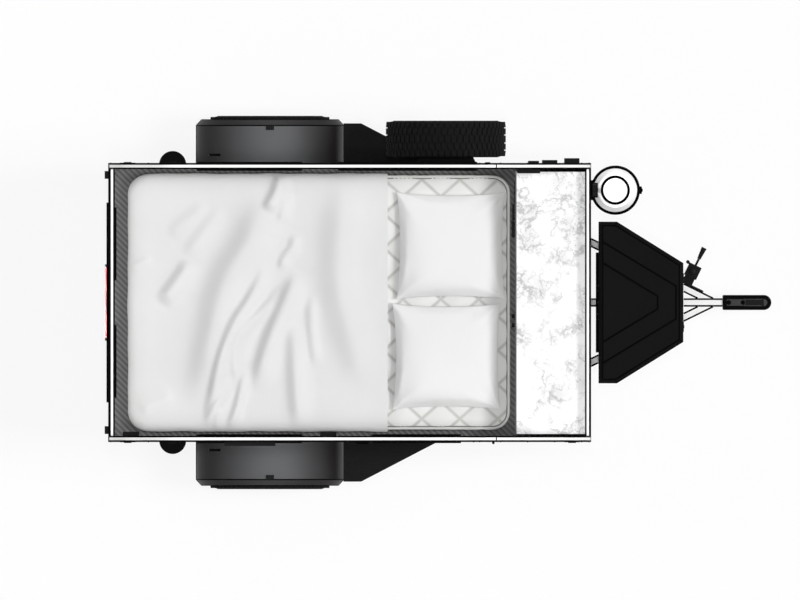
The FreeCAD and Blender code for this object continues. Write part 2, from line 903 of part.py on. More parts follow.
hinge(
    Vector(door_axis_x, door_axis_y, (door_bottom + door_top) / 2), Vector(0, 0, 1), Vector(-1, 0, 0),
    Vector(0, -1, 0), door_hinge_length, "fixed_hinges", "door_fittings",
)

# Rear hatch, hinged along its top edge, with two windows
hatch = plate("x", rear_x, rear_inside, hatch_outline, hatch_corner)
pane_bottom = hatch_bottom + hatch_pane_lift
pane_z = (pane_bottom, pane_bottom + hatch_pane_height)
for centre in (-hatch_pane_offset, hatch_pane_offset):
    pane_y = (centre - hatch_pane_width / 2, centre + hatch_pane_width / 2)
    hatch = hatch.cut(plate("x", rear_x, rear_inside, rectangle(*pane_y, *pane_z), window_corner))
    node(
        "hatch_windows",
        window_frame("x", rear_x - window_proud, rear_inside + window_proud, pane_y, pane_z)
    )
    node("hatch_panes", window_pane("x", rear_x + wall_thickness / 2, pane_y, pane_z))
node("rear_hatch", hatch)
handle_z = hatch_bottom + hatch_handle_lift
node(
    "hatch_fittings",
    box(
        rear_x - hatch_handle_depth, rear_x, -hatch_handle_width / 2, hatch_handle_width / 2,
        handle_z, handle_z + hatch_handle_height,
    ),
)
hinge(
    Vector(rear_x - knuckle_seat, 0, hatch_top + door_gap / 2), Vector(0, 1, 0), Vector(0, 0, -1),
    Vector(-1, 0, 0), hatch_hinge_length, "fixed_hinges", "hatch_fittings",
)


# Lamps: light bar and tail lamps behind, small markers on the corners
def rear_lamp(y0, y1, z0, z1, depth, end_frame, top_frame):
    """A black housing on the rear face with a red lens let into it, which may reach its top."""
    housing = box(rear_x - depth, rear_x, y0, y1, z0, z1)
    lens = box(
        rear_x - depth, rear_x - lamp_frame, y0 + end_frame, y1 - end_frame, z0 + lamp_frame, z1 - top_frame
    )
    node("rear_lamp_housings", housing.cut(lens))
    node("rear_lamp_lenses", lens)


bar_z = deck_height + light_bar_lift
rear_lamp(
    -light_bar_length / 2, light_bar_length / 2, bar_z, bar_z + light_bar_height, light_bar_depth,
    light_bar_end, 0.0,
)
tail_y1 = side_y - tail_lamp_side_gap
tail_y0 = tail_y1 - tail_lamp_width
tail_z = deck_height + tail_lamp_lift
for y0, y1 in ((tail_y0, tail_y1), (-tail_y1, -tail_y0)):
    rear_lamp(y0, y1, tail_z, tail_z + tail_lamp_height, tail_lamp_depth, lamp_frame, lamp_frame)


def marker_lamp(x0, side):
    """A low marker with a bump in its middle."""
    base, x1 = side * side_y, x0 + marker_length
    z0 = deck_height + marker_lift
    lens = box(x0, x1, base, base + side * marker_depth, z0, z0 + marker_height)
    bump = box(
        x0 + marker_length / 4, x1 - marker_length / 4, base, base + side * marker_bump,
        z0 + marker_height / 4, z0 + marker_height * 3 / 4,
    )
    return lens.fuse(bump)


for side in (1, -1):
    node("marker_lamps", marker_lamp(rear_x + marker_end_gap, side))
node("marker_lamps", marker_lamp(front_x - marker_end_gap - marker_length, -1))
porch_x = rear_x + porch_lamp_back
porch_z = deck_height + porch_lamp_lift
node(
    "marker_lamps",
    box(
        porch_x, porch_x + porch_lamp_length, -side_y - porch_lamp_depth, -side_y,
        porch_z, porch_z + porch_lamp_height,
    ),
)

# Fenders: a round arch over each wheel, its outer shoulder turned down to a lip
fender_radius = tyre_radius + fender_clearance
fender_edge = side_y + wheel_gap + tyre_width - tyre_past_fender
shoulder_y = fender_edge - fender_shoulder
shoulder_radius = fender_radius - fender_shoulder_drop
lip_radius = shoulder_radius - fender_lip
inner_shoulder = fender_sheet * math.tan(math.atan2(fender_shoulder_drop, fender_shoulder) / 2)
section = [
    (side_y, fender_radius), (shoulder_y, fender_radius), (fender_edge, shoulder_radius),
    (fender_edge, lip_radius), (fender_edge - fender_sheet, lip_radius),
    (fender_edge - fender_sheet, shoulder_radius - inner_shoulder),
    (shoulder_y - inner_shoulder, fender_radius - fender_sheet), (side_y, fender_radius - fender_sheet),
]
arch = turned(section, axle_x, axle_z, 180.0, -90.0)
slot_x = axle_x - fender_slot_back
fender_slot = box(
    slot_x, slot_x + fender_slot_length, side_y + fender_slot_side,
    side_y + fender_slot_side + fender_slot_width, axle_z, axle_z + fender_radius,
)
node("fenders", *both_sides(arch.cut(fender_slot)))
fender_lamp = box(
    axle_x - fender_lamp_length / 2, axle_x + fender_lamp_length / 2,
    shoulder_y - fender_lamp_width, shoulder_y,
    axle_z + fender_radius, axle_z + fender_radius + fender_lamp_height,
)
node("marker_lamps", *both_sides(fender_lamp))

# Side steps ahead of the fenders: a flat tread with a turned-down edge on two brackets
step_top = deck_height + step_rise
step_rear = axle_x + fender_radius
step_outline = [
    (step_rear, side_y), (step_rear + step_run, side_y),
    (step_rear + step_tread, side_y + step_reach), (step_rear, side_y + step_reach),
]
step = plate("z", step_top - step_sheet, step_top, step_outline)
skirt = plate("z", step_top - step_skirt, step_top, step_outline).cut(
    plate("z", step_top - step_skirt, step_top, inset(step_outline, step_sheet))
)
step_body = step.fuse(skirt)
bracket_top = step_top - step_skirt
bracket_bottom = bracket_top - step_bracket_height
for back in (step_bracket_rear, step_bracket_front):
    x = step_rear + back
    share = (step_run - back - step_bracket_width) / (step_run - step_tread)
    reach = step_reach * min(share, 1.0) - step_bracket_inset
    bar = box(x, x + step_bracket_width, rail_out, side_y + reach, bracket_bottom, bracket_top)
    foot = side_y + step_post_gap
    post = box(
        x, x + step_bracket_width, foot, foot + step_bracket_height, bracket_bottom, step_top - step_sheet
    )
    step_body = step_body.fuse([bar, post])
node("side_steps", *both_sides(step_body.removeSplitter()))

# Spare wheel on the left wall, on a square pressed carrier
spare_x = front_x - spare_back
spare_z = deck_height + spare_lift
spare_y = side_y + spare_stand_off + tyre_width / 2
node("spare_tyre", tyre(spare_x, spare_y, spare_z))
node("spare_rim", wheel_rim(spare_x, spare_y, spare_z, 1))
carrier_front = spare_y - disc_thickness


def square_ring(half, y):
    corners = rectangle(spare_x - half, spare_x + half, spare_z - half, spare_z + half)
    return [Vector(x, y, z) for x, z in corners]


def square_tube(half, y0, y1):
    return box(spare_x - half, spare_x + half, y0, y1, spare_z - half, spare_z + half)


carrier = taper(
    square_ring(carrier_foot / 2, side_y), square_ring(carrier_head / 2, side_y + spare_stand_off)
)
carrier = carrier.fuse([
    square_tube(carrier_post / 2, side_y + spare_stand_off, carrier_front + carrier_post_tip),
    square_tube(carrier_plate / 2, carrier_front - carrier_sheet, carrier_front),
])
node("spare_carrier", carrier.removeSplitter())

# Tongue box on the arms: hollow case and a hinged lid with a bevelled edge
jack_x = meet_x - jack_back
box_rear = front_x + box_gap
box_front = jack_x - box_to_jack
box_outline = [
    (box_rear, -box_rear_width / 2), (box_rear + box_straight, -box_rear_width / 2),
    (box_front, -box_front_width / 2), (box_front, box_front_width / 2),
    (box_rear + box_straight, box_rear_width / 2), (box_rear, box_rear_width / 2),
]
box_base = tongue_top
box_top = box_base + box_height
case = plate("z", box_base, box_top, box_outline)
case = case.cut(plate("z", box_base + box_sheet, box_top, inset(box_outline, box_sheet)))
node("tongue_box", case)
lid_bottom = box_top + lid_seat
lid_top = lid_bottom + lid_height
lid_edge = lid_top - lid_bevel_drop
lid = plate("z", lid_bottom, lid_edge, box_outline)
lid_crown = taper(
    [Vector(x, y, lid_edge) for x, y in box_outline],
    [Vector(x, y, lid_top) for x, y in inset(box_outline, lid_bevel)],
)
lid = lid.fuse(lid_crown)
lid = lid.cut(plate("z", lid_bottom, lid_edge - box_sheet, inset(box_outline, box_sheet)))
rib_rear = box_rear + lid_bevel + lid_rib_gap
ribs = []
for rear_y, front_y, nose_gap in (
    (outer_rib_rear, outer_rib_front, outer_rib_nose_gap),
    (inner_rib_rear, inner_rib_front, inner_rib_nose_gap),
):
    rib_front = box_front - nose_gap
    left_rib = plate(
        "z", lid_top, lid_top + lid_rib_height,
        [
            (rib_rear, rear_y - lid_rib_width), (rib_front, front_y - lid_rib_width),
            (rib_front, front_y), (rib_rear, rear_y),
        ],
    )
    ribs += both_sides(left_rib)
    ribs.append(
        box(rib_front - lid_rib_width, rib_front, -front_y, front_y, lid_top, lid_top + lid_rib_height)
    )
node("tongue_box_lid", lid.fuse(ribs).removeSplitter())
hinge(
    Vector(box_rear - knuckle_seat, 0, box_top + lid_seat / 2), Vector(0, 1, 0), Vector(0, 0, 1),
    Vector(-1, 0, 0), lid_hinge_length, "fixed_hinges", "lid_hinge",
)

# Gas cylinder on a tray held by the front outrigger
cylinder_x = front_x + cylinder_gap + cylinder_radius
cylinder_y = cylinder_side
tray_top = rail_bottom
shell_bottom = tray_top + foot_height
shell_top = shell_bottom + cylinder_height
dome_bottom = shell_top - dome_height
vessel = upright(
    [
        (0, tray_top), (foot_radius, tray_top), (foot_radius, shell_bottom), (cylinder_radius, shell_bottom),
        (cylinder_radius, dome_bottom), (dome_radius, shell_top), (0, shell_top),
    ],
    cylinder_x, cylinder_y,
)
cavity = upright(
    [
        (0, shell_bottom), (cylinder_radius - cylinder_wall, shell_bottom),
        (cylinder_radius - cylinder_wall, dome_bottom - cylinder_wall),
        (neck_radius, dome_bottom - cylinder_wall),
        (neck_radius, shell_top), (0, shell_top),
    ],
    cylinder_x, cylinder_y,
)
cavity.translate(Vector(0, 0, cylinder_wall))
collar = upright(
    [
        (collar_radius - collar_sheet, shell_top), (collar_radius, shell_top),
        (collar_radius, shell_top + collar_height), (collar_radius - collar_sheet, shell_top + collar_height),
    ],
    cylinder_x, cylinder_y,
)
collar_window = box(
    cylinder_x - collar_radius, cylinder_x, cylinder_y - collar_window_width / 2,
    cylinder_y + collar_window_width / 2, shell_top + collar_window_edge,
    shell_top + collar_height - collar_window_edge,
)
cap_top = shell_top + collar_height - collar_cap_drop
collar_cap = upright(
    [
        (0, cap_top - collar_cap_sheet), (collar_radius - collar_sheet, cap_top - collar_cap_sheet),
        (collar_radius - collar_sheet, cap_top), (0, cap_top),
    ],
    cylinder_x, cylinder_y,
)
node("gas_cylinder", vessel.cut(cavity).fuse([collar.cut(collar_window), collar_cap]))
valve_z = shell_top + outlet_height
valve_body = rod(
    Vector(cylinder_x, cylinder_y, shell_top),
    Vector(cylinder_x, cylinder_y, shell_top + valve_height), valve_radius
)
wheel_face = cylinder_x - outlet_length - hand_wheel_depth
outlet = rod(
    Vector(cylinder_x, cylinder_y, valve_z),
    Vector(wheel_face + hand_wheel_depth, cylinder_y, valve_z), outlet_radius
)
lobes = []
for i in range(2 * hand_wheel_lobes):
    turn = math.pi * i / hand_wheel_lobes
    reach = hand_wheel_radius - (i % 2) * hand_wheel_scallop
    lobes.append((cylinder_y + reach * math.cos(turn), valve_z + reach * math.sin(turn)))
hand_wheel = plate("x", wheel_face, wheel_face + hand_wheel_depth, lobes)
node("cylinder_valve", valve_body.fuse([outlet, hand_wheel]))
pan = foot_radius + tray_sheet / 2
tray = box(
    cylinder_x - pan, cylinder_x + pan, cylinder_y - pan,
    cylinder_y + pan, tray_top - tray_sheet, tray_top + tray_lip
)
well = foot_radius + running_gap
tray = tray.cut(
    box(
        cylinder_x - well, cylinder_x + well, cylinder_y - well,
        cylinder_y + well, tray_top, tray_top + tray_lip
    )
)
for offset in (-tray_bar_offset, tray_bar_offset):
    tray = tray.fuse(
        box(
            rail_front - rail_width, cylinder_x, cylinder_y + offset - tray_bar_width / 2,
            cylinder_y + offset + tray_bar_width / 2, tray_top - tray_sheet, tray_top,
        )
    )
node("cylinder_tray", tray.removeSplitter())

# Side-wind jack on the left arm, turned square to it
arm_along = Vector(math.cos(lean), -math.sin(lean), 0)
arm_across = Vector(math.sin(lean), math.cos(lean), 0)
jack_y = arm_at_wall - slope * (jack_x - front_x) + jack_offset / math.cos(lean)
jack_axis = Vector(jack_x, jack_y, 0)


def jack_block(along0, along1, across0, across1, z0, z1):
    """A box in the arm's own directions, measured from the jack's axis."""
    low = jack_axis + arm_along * along0 + arm_across * across0 + Vector(0, 0, z0)
    piece = Part.makeBox(along1 - along0, across1 - across0, z1 - z0)
    piece.rotate(Vector(0, 0, 0), Vector(0, 0, 1), -arm_angle)
    piece.translate(low)
    return piece


def jack_tube(radius, z0, z1):
    return Part.makeCylinder(radius, z1 - z0, jack_axis + Vector(0, 0, z0))


arm_face = rail_width / 2 - jack_offset
plate_face = arm_face + jack_plate_sheet
mount_plate = jack_block(
    -jack_plate_rear, jack_plate_front, arm_face, plate_face, tongue_bottom - jack_plate_drop, tongue_top
)
boss_half = jack_boss_width / 2
mount_boss = jack_block(-boss_half, boss_half, plate_face, boss_half, tongue_bottom, tongue_top).cut(
    jack_tube(jack_outer_radius, tongue_bottom, tongue_top)
)
node("jack_bracket", mount_plate.fuse(mount_boss).removeSplitter())
head_half = jack_head / 2
head_bottom = jack_top - jack_head_height
sleeve = jack_tube(jack_outer_radius, jack_sleeve_bottom, head_bottom).fuse(
    jack_block(-head_half, head_half, -head_half, head_half, head_bottom, jack_top)
)
node("jack_body", sleeve.cut(jack_tube(jack_inner_radius + slide_gap, jack_sleeve_bottom, head_bottom)))
foot_half = jack_foot / 2
foot = jack_block(-foot_half, foot_half, -foot_half, foot_half, 0, foot_thickness)
node(
    "jack_leg",
    jack_tube(jack_inner_radius, foot_thickness, jack_sleeve_bottom + jack_leg_overlap).fuse(foot)
)
crank_level = Vector(0, 0, jack_top - jack_head_height / 2)
crank_start = jack_axis + arm_across * head_half + crank_level
crank_knee = crank_start + arm_across * crank_reach
crank_low = crank_knee + Vector(0, 0, -crank_throw) + arm_across * crank_splay
shaft = rod(crank_start, crank_knee + arm_across * crank_radius, crank_radius)
throw = rod(crank_knee, crank_low, crank_radius)


def grip_ring(centre, radius):
    ring = []
    for i in range(8):
        turn = math.radians(22.5 + i * 45)
        ring.append(centre + arm_along * (radius * math.cos(turn)) + Vector(0, 0, radius * math.sin(turn)))
    return ring


grip_start = crank_low - arm_across * crank_radius
grip = taper(
    grip_ring(grip_start, grip_root_radius), grip_ring(grip_start + arm_across * grip_length, grip_radius)
)
node("jack_crank", shaft.fuse([throw, grip]))

# Rear stabilisers: a sleeve under each corner and a leg with a round pad
leg_x = rear_x + stabiliser_back
leg_y = side_y - stabiliser_side_gap
leg_half = leg_side / 2
bore_half = leg_half + slide_gap
sleeve_half = bore_half + sleeve_sheet
sleeve_bottom = deck_height - sleeve_length


def square_post(half, z0, z1):
    return box(leg_x - half, leg_x + half, leg_y - half, leg_y + half, z0, z1)


sleeve = square_post(sleeve_half, sleeve_bottom, deck_height).cut(
    square_post(bore_half, sleeve_bottom, deck_height - sleeve_sheet)
)
hanger = box(
    leg_x - sleeve_half, leg_x + sleeve_half, rail_out,
    leg_y - sleeve_half, rail_bottom, rail_bottom + hanger_height
)
node("stabiliser_sleeves", *both_sides(sleeve.fuse(hanger).removeSplitter()))
pad = Part.makeCylinder(stabiliser_pad, foot_thickness, Vector(leg_x, leg_y, 0))
left_leg = square_post(leg_half, foot_thickness, sleeve_bottom + leg_overlap).fuse(pad)
node("stabiliser_leg_left", left_leg)
node("stabiliser_leg_right", mirrored(left_leg))

# Counter across the nose: open-topped cabinet under a stone worktop
counter_front = front_x - wall_thickness
counter_rear = counter_front - counter_length
cabinet_rear = counter_rear - cabinet_set_back
cabinet_half = inner_y - counter_side_gap
cabinet_top = counter_top - counter_thickness
cabinet = box(cabinet_rear, counter_front, -cabinet_half, cabinet_half, floor_top, cabinet_top)
cabinet = cabinet.cut(
    box(
        cabinet_rear + panel_thickness, counter_front, -cabinet_half + panel_thickness,
        cabinet_half - panel_thickness, floor_top + panel_thickness, cabinet_top,
    )
)
node("cabinet", cabinet)
node(
    "worktop",
    box(counter_rear, counter_front, -cabinet_half, inner_y - worktop_side_gap, cabinet_top, counter_top)
)

# Fittings on the cabinet's face and the inside walls
fitting_z = floor_top + fitting_lift
for wall_gap, width, depth in fittings_on_cabinet:
    y1 = inner_y - wall_gap
    node(
        "inside_fittings",
        box(cabinet_rear - depth, cabinet_rear, y1 - width, y1, fitting_z, fitting_z + fitting_height),
    )
for place in knob_places:
    start = Vector(cabinet_rear, -place, fitting_z + fitting_height / 2)
    node("inside_fittings", rod(start, start - Vector(knob_depth, 0, 0), knob_radius))
wall_box_x = counter_rear + wall_box_gap
wall_box_z = counter_top + wall_box_lift
node(
    "inside_fittings",
    box(
        wall_box_x, wall_box_x + wall_box_length, inner_y - wall_box_depth, inner_y,
        wall_box_z, wall_box_z + fitting_height,
    ),
)
lamp_z = floor_top + reading_lamp_lift
for back in reading_lamp_backs:
    x = rear_x + back
    node(
        "inside_fittings",
        box(
            x, x + reading_lamp_length, -inner_y, -inner_y + wall_box_depth,
            lamp_z, lamp_z + reading_lamp_height
        ),
    )

# Service inlets on the outside of the left wall
for back, size, depth in inlets:
    x0, z0 = front_x - back, deck_height + inlet_lift
    node("utility_inlets", box(x0, x0 + size, side_y, side_y + depth, z0, z0 + size))

# Bedding: plain closed forms
bed_front = cabinet_rear - mattress_gap
bed_rear = rear_inside + mattress_rear_gap
bed_half = mattress_width / 2
node(
    "mattress",
    plate(
        "z", mattress_base, mattress_top, rectangle(bed_rear, bed_front, -bed_half, bed_half), mattress_corner
    ),
)
blanket_rear = bed_rear - blanket_rear_overhang
blanket_front = blanket_rear + blanket_length
blanket_half = bed_half + blanket_overhang
blanket = plate(
    "z", mattress_base + blanket_hem_lift, mattress_top + soft_gap + blanket_thickness,
    rectangle(blanket_rear, blanket_front, -blanket_half, blanket_half),
    [blanket_corner, 0.0, 0.0, blanket_corner],
)
under = plate(
    "z", mattress_base, mattress_top + soft_gap,
    rectangle(bed_rear - soft_gap, bed_front, -bed_half - soft_gap, bed_half + soft_gap),
    mattress_corner + soft_gap,
)
node("blanket", blanket.cut(under))


def pillow_ring(x, y, lift, share):
    """The pillow's outline at one height: its corners pulled out and its sides drawn in."""
    half = share * pillow_side / 2
    ring = []
    for quarter in range(4):
        for step in range(pillow_side_steps):
            along = 2 * step / pillow_side_steps - 1
            u, v = along * half, share * pillow_waist * (1 - along * along) - half
            for _ in range(quarter):
                u, v = -v, u
            ring.append(Vector(x + u, y + v, mattress_top + soft_gap + lift))
    return ring


for back, y in ((left_pillow_back, left_pillow_side), (right_pillow_back, -right_pillow_side)):
    rings = [pillow_ring(bed_front - back, y, lift, share) for lift, share in pillow_levels]
    layers = [taper(first, last) for first, last in zip(rings, rings[1:])]
    node("pillows", layers[0].fuse(layers[1:]))

os.makedirs("parts", exist_ok=True)
for name, solids in nodes.items():
    shape = solids[0] if len(solids) == 1 else Part.makeCompound(solids)
    shape.exportStep("parts/" + name + ".step")
print(len(nodes), "nodes")
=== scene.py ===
import json
from math import acos, atan2, copysign, cos, exp, hypot, pi, radians, sin, tan

import bmesh
import bpy
from mathutils import Matrix, Vector

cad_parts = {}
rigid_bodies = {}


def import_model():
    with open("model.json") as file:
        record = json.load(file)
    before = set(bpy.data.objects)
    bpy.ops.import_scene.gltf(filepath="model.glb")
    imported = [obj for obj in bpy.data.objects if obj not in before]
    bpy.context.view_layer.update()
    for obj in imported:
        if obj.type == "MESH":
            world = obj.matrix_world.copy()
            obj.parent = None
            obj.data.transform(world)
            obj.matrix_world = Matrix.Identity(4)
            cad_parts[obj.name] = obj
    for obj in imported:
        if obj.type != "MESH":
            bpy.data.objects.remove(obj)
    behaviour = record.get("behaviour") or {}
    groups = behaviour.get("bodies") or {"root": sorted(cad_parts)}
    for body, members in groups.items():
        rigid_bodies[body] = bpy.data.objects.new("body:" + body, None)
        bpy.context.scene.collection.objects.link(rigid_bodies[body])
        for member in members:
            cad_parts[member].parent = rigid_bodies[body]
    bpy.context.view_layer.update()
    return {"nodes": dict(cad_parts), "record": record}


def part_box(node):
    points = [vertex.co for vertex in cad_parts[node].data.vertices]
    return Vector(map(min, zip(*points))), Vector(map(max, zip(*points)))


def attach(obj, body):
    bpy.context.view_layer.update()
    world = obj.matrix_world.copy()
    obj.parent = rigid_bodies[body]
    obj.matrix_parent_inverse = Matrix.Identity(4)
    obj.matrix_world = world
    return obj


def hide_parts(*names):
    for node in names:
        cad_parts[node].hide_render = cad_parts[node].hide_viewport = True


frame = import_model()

nodes = frame["nodes"]
scene = bpy.context.scene
print("frame loaded:", len(nodes), "nodes")


# materials

def hexColour(code):
    values = [int(code[i:i + 2], 16) / 255 for i in (1, 3, 5)]
    return [v / 12.92 if v <= 0.04045 else ((v + 0.055) / 1.055) ** 2.4 for v in values] + [1.0]


def addNode(tree, kind, values=None, links=None, **settings):
    node = tree.nodes.new("ShaderNode" + kind)
    for name, value in settings.items():
        setattr(node, name, value)
    for name, value in (values or {}).items():
        node.inputs[name].default_value = value
    for name, source in (links or {}).items():
        tree.links.new(source, node.inputs[name])
    return node


def startMaterial(name, colour, values):
    material = bpy.data.materials.new(name)
    material.use_nodes = True
    tree = material.node_tree
    shader = tree.nodes["Principled BSDF"]
    shader.inputs["Base Color"].default_value = hexColour(colour)
    for socket, value in values.items():
        shader.inputs[socket].default_value = value
    place = addNode(tree, "TexCoord").outputs["Object"]
    return material, tree, shader, place


def perMetre(sizeMm):  # a texture's scale for a feature of that size
    return 1000.0 / sizeMm


def maths(tree, operation, *terms):  # a term is a number or another node's output
    node = addNode(tree, "Math", operation=operation)
    for socket, term in zip(node.inputs, terms):
        if isinstance(term, float):
            socket.default_value = term
        else:
            tree.links.new(term, socket)
    return node.outputs[0]


def mixColours(tree, share, first, second):  # a colour is a hex code or another node's output
    node = addNode(tree, "Mix", None, {0: share}, data_type="RGBA")
    for socket, colour in zip(node.inputs[6:8], (first, second)):
        if isinstance(colour, str):
            socket.default_value = hexColour(colour)
        else:
            tree.links.new(colour, socket)
    return node.outputs[2]


def noise(tree, place, sizeMm, detail, **values):
    return addNode(tree, "TexNoise", {"Scale": perMetre(sizeMm), "Detail": detail, **values}, {"Vector": place}).outputs


def mapped(tree, value, fromMin, fromMax, toMin=0.0, toMax=1.0, **settings):
    limits = {"From Min": fromMin, "From Max": fromMax, "To Min": toMin, "To Max": toMax}
    return addNode(tree, "MapRange", limits, {"Value": value}, **settings).outputs["Result"]


def softStep(tree, value, *limits):
    return mapped(tree, value, *limits, interpolation_type="SMOOTHSTEP")


def axes(tree, place):
    return addNode(tree, "SeparateXYZ", None, {0: place}).outputs


def addBump(tree, shader, height, depthMm, strength):
    bump = addNode(tree, "Bump", {"Strength": strength, "Distance": depthMm / 1000}, {"Height": height})
    tree.links.new(bump.outputs["Normal"], shader.inputs["Normal"])


def colourMix(tree, shader, share, first, second):
    tree.links.new(mixColours(tree, share, first, second), shader.inputs["Base Color"])


def unevenColour(tree, shader, place, first, second, patchMm):
    colourMix(tree, shader, noise(tree, place, patchMm, 4.0)["Fac"], first, second)


def fineGrain(tree, shader, place, grainMm, depthMm, strength=0.5):
    addBump(tree, shader, noise(tree, place, grainMm, 3.0)["Fac"], depthMm, strength)


def unevenRoughness(tree, shader, place, low, high, patchMm):
    rough = mapped(tree, noise(tree, place, patchMm, 5.0)["Fac"], 0.0, 1.0, low, high)
    tree.links.new(rough, shader.inputs["Roughness"])


def seenDirectly(tree):  # 1 for camera, glossy and transmission rays, 0 for the light that falls on things
    rays = addNode(tree, "LightPath").outputs
    either = maths(tree, "MAXIMUM", rays["Is Camera Ray"], rays["Is Glossy Ray"])
    return maths(tree, "MAXIMUM", either, rays["Is Transmission Ray"])


def plainFinish(name, first, second, specular, patchMm, grainMm, depthMm, rough, metallic=0.0, coat=(0.0, 0.03)):
    values = {"Specular IOR Level": specular, "Metallic": metallic, "Coat Weight": coat[0], "Coat Roughness": coat[1]}
    material, tree, shader, place = startMaterial(name, first, values)
    unevenColour(tree, shader, place, first, second, patchMm)
    fineGrain(tree, shader, place, grainMm, depthMm)
    unevenRoughness(tree, shader, place, rough[0], rough[1], patchMm / 2)
    return material


# gelcoat over composite panel: bright, smooth, with a faint long ripple
gelcoatSkin = plainFinish("gelcoatSkin", "#f3f3f2", "#eeeeec", 0.4, 420, 60.0, 0.25, (0.28, 0.4), coat=(0.2, 0.15))
# extruded aluminium trim, black anodised: even and faintly lined
blackTrim = plainFinish("blackAnodisedTrim", "#030303", "#060606", 0.02, 90, 2.0, 0.05, (0.5, 0.62))
# powder coat over steel: fine orange peel, dull black
blackPowder = plainFinish("blackPowderCoat", "#131313", "#191919", 0.05, 130, 2.5, 0.2, (0.55, 0.7))
channelPrimer = plainFinish("darkGreyPrimer", "#454545", "#3d3d3d", 0.06, 60, 2.0, 0.2, (0.6, 0.72))
greyPowder = plainFinish("lightGreyPowderCoat", "#f7f7f7", "#f2f2f2", 0.3, 160, 2.5, 0.15, (0.4, 0.52))
boxPaint = plainFinish("boxBlackPaint", "#0c0c0c", "#101010", 0.03, 240, 3.0, 0.12, (0.5, 0.62))
tyreRubber = plainFinish("tyreRubber", "#0e0e0e", "#161616", 0.08, 45, 1.8, 0.3, (0.72, 0.9))
# pressed steel wheel in silver grey enamel
wheelEnamel = plainFinish("wheelEnamel", "#85878a", "#7b7d80", 0.5, 120, 4.0, 0.05, (0.32, 0.45), metallic=0.7)
castIron = plainFinish("castIron", "#3b3a39", "#4a4846", 0.5, 20, 2.0, 0.5, (0.6, 0.8), metallic=0.6)
# zinc plate, dull bright with a faint spangle
zincPlate = plainFinish("zincPlate", "#b9bdc0", "#a4a8ab", 0.5, 14, 1.5, 0.03, (0.28, 0.42), metallic=1.0)
blackMoulding = plainFinish("blackAbs", "#0a0a0a", "#101010", 0.08, 40, 1.2, 0.1, (0.45, 0.58))
cylinderEnamel = plainFinish("whiteEnamel", "#f3f3f2", "#eeeeed", 0.5, 200, 30.0, 0.08, (0.2, 0.3), coat=(0.35, 0.08))
valveNylon = plainFinish("blackNylon", "#0c0c0c", "#121212", 0.1, 30, 1.0, 0.12, (0.55, 0.65))
laminate = plainFinish("whiteLaminate", "#e9e8e6", "#e3e2e0", 0.4, 300, 1.5, 0.04, (0.36, 0.46))
rubberSeal = plainFinish("sealRubber", "#030303", "#060606", 0.02, 30, 1.5, 0.1, (0.65, 0.8))


def topLitBlackPaint():  # satin black paint, painted lighter grey where it faces up, as if lit from above
    material, tree, shader, place = startMaterial("satinBlackPaint", "#1c191a", {"Specular IOR Level": 0.08})
    facing = axes(tree, addNode(tree, "TexCoord").outputs["Normal"])
    # painted light: faces that turn upwards are mixed towards grey
    paintedTopLight = maths(tree, "POWER", maths(tree, "MAXIMUM", facing["Z"], 0.0), 5.0)
    colourMix(tree, shader, paintedTopLight, "#1c191a", "#5d5e60")
    fineGrain(tree, shader, place, 14.0, 0.08)
    unevenRoughness(tree, shader, place, 0.42, 0.52, 130)
    return material


def smokedAcrylic():  # clear grey sheet, slightly wavy
    values = {"Transmission Weight": 0.9, "IOR": 1.49, "Roughness": 0.04}
    material, tree, shader, place = startMaterial("smokedAcrylic", "#8d949a", values)
    fineGrain(tree, shader, place, 220.0, 0.6, 0.15)
    return material


def redLens():  # moulded red acrylic with fine upright optic ribs inside
    red = "#ff1a1a"
    # painted light: the emission makes the lens shine red as if lit from inside
    values = {"Transmission Weight": 0.1, "IOR": 1.49, "Roughness": 0.12, "Emission Strength": 0.7}
    material, tree, shader, place = startMaterial("redLens", red, {**values, "Emission Color": hexColour(red)})
    wave = {"Scale": perMetre(5.0) / 6.283, "Detail": 0.0}
    ribs = addNode(tree, "TexWave", wave, {"Vector": place}, bands_direction="Y")
    addBump(tree, shader, ribs.outputs["Fac"], 0.6, 0.35)
    return material


marbleSizes = {
    "turn": 0.7, "swirlMm": 320, "swirlShift": 0.16, "cloudMm": 150,
    "white": "#f7f7f7", "cloud": "#c4c4c5", "vein": "#7d7e80",
    # size in mm, how near to the noise's middle a vein reaches, and how dark it is
    "veins": ((210, 0.035, 0.62), (95, 0.028, 0.42)),
}


def marble():  # polished white stone: thin broken grey veins in pale clouds
    sizes = marbleSizes
    values = {"Coat Weight": 0.2, "Coat Roughness": 0.03, "Roughness": 0.08, "Specular IOR Level": 0.3}
    material, tree, shader, place = startMaterial("whiteMarble", sizes["white"], values)
    turned = addNode(tree, "Mapping", {"Rotation": (0.0, 0.0, sizes["turn"])}, {"Vector": place}).outputs[0]
    swirl = noise(tree, turned, sizes["swirlMm"], 5.0)["Color"]
    shift = addNode(tree, "VectorMath", {1: (-0.5, -0.5, -0.5)}, {0: swirl}, operation="ADD").outputs[0]
    shift = addNode(tree, "VectorMath", {"Scale": sizes["swirlShift"]}, {0: shift}, operation="SCALE").outputs[0]
    bent = addNode(tree, "VectorMath", None, {0: turned, 1: shift}, operation="ADD").outputs[0]
    layers = []
    for size, reach, darkest in sizes["veins"]:
        middle = maths(tree, "SUBTRACT", noise(tree, bent, size, 6.0, Roughness=0.6)["Fac"], 0.5)
        layers.append(softStep(tree, maths(tree, "ABSOLUTE", middle), 0.0, reach, darkest, 0.0))
    patches = noise(tree, bent, sizes["cloudMm"], 4.0)["Fac"]
    where = softStep(tree, patches, 0.34, 0.60)
    veins = maths(tree, "MULTIPLY", maths(tree, "MAXIMUM", *layers), where)
    base = mixColours(tree, mapped(tree, patches, 0.42, 0.72, 0.0, 0.6), sizes["white"], sizes["cloud"])
    colourMix(tree, shader, veins, base, sizes["vein"])
    return material


ribSizes = {"pitchMm": 37.2, "depthMm": 0.8}


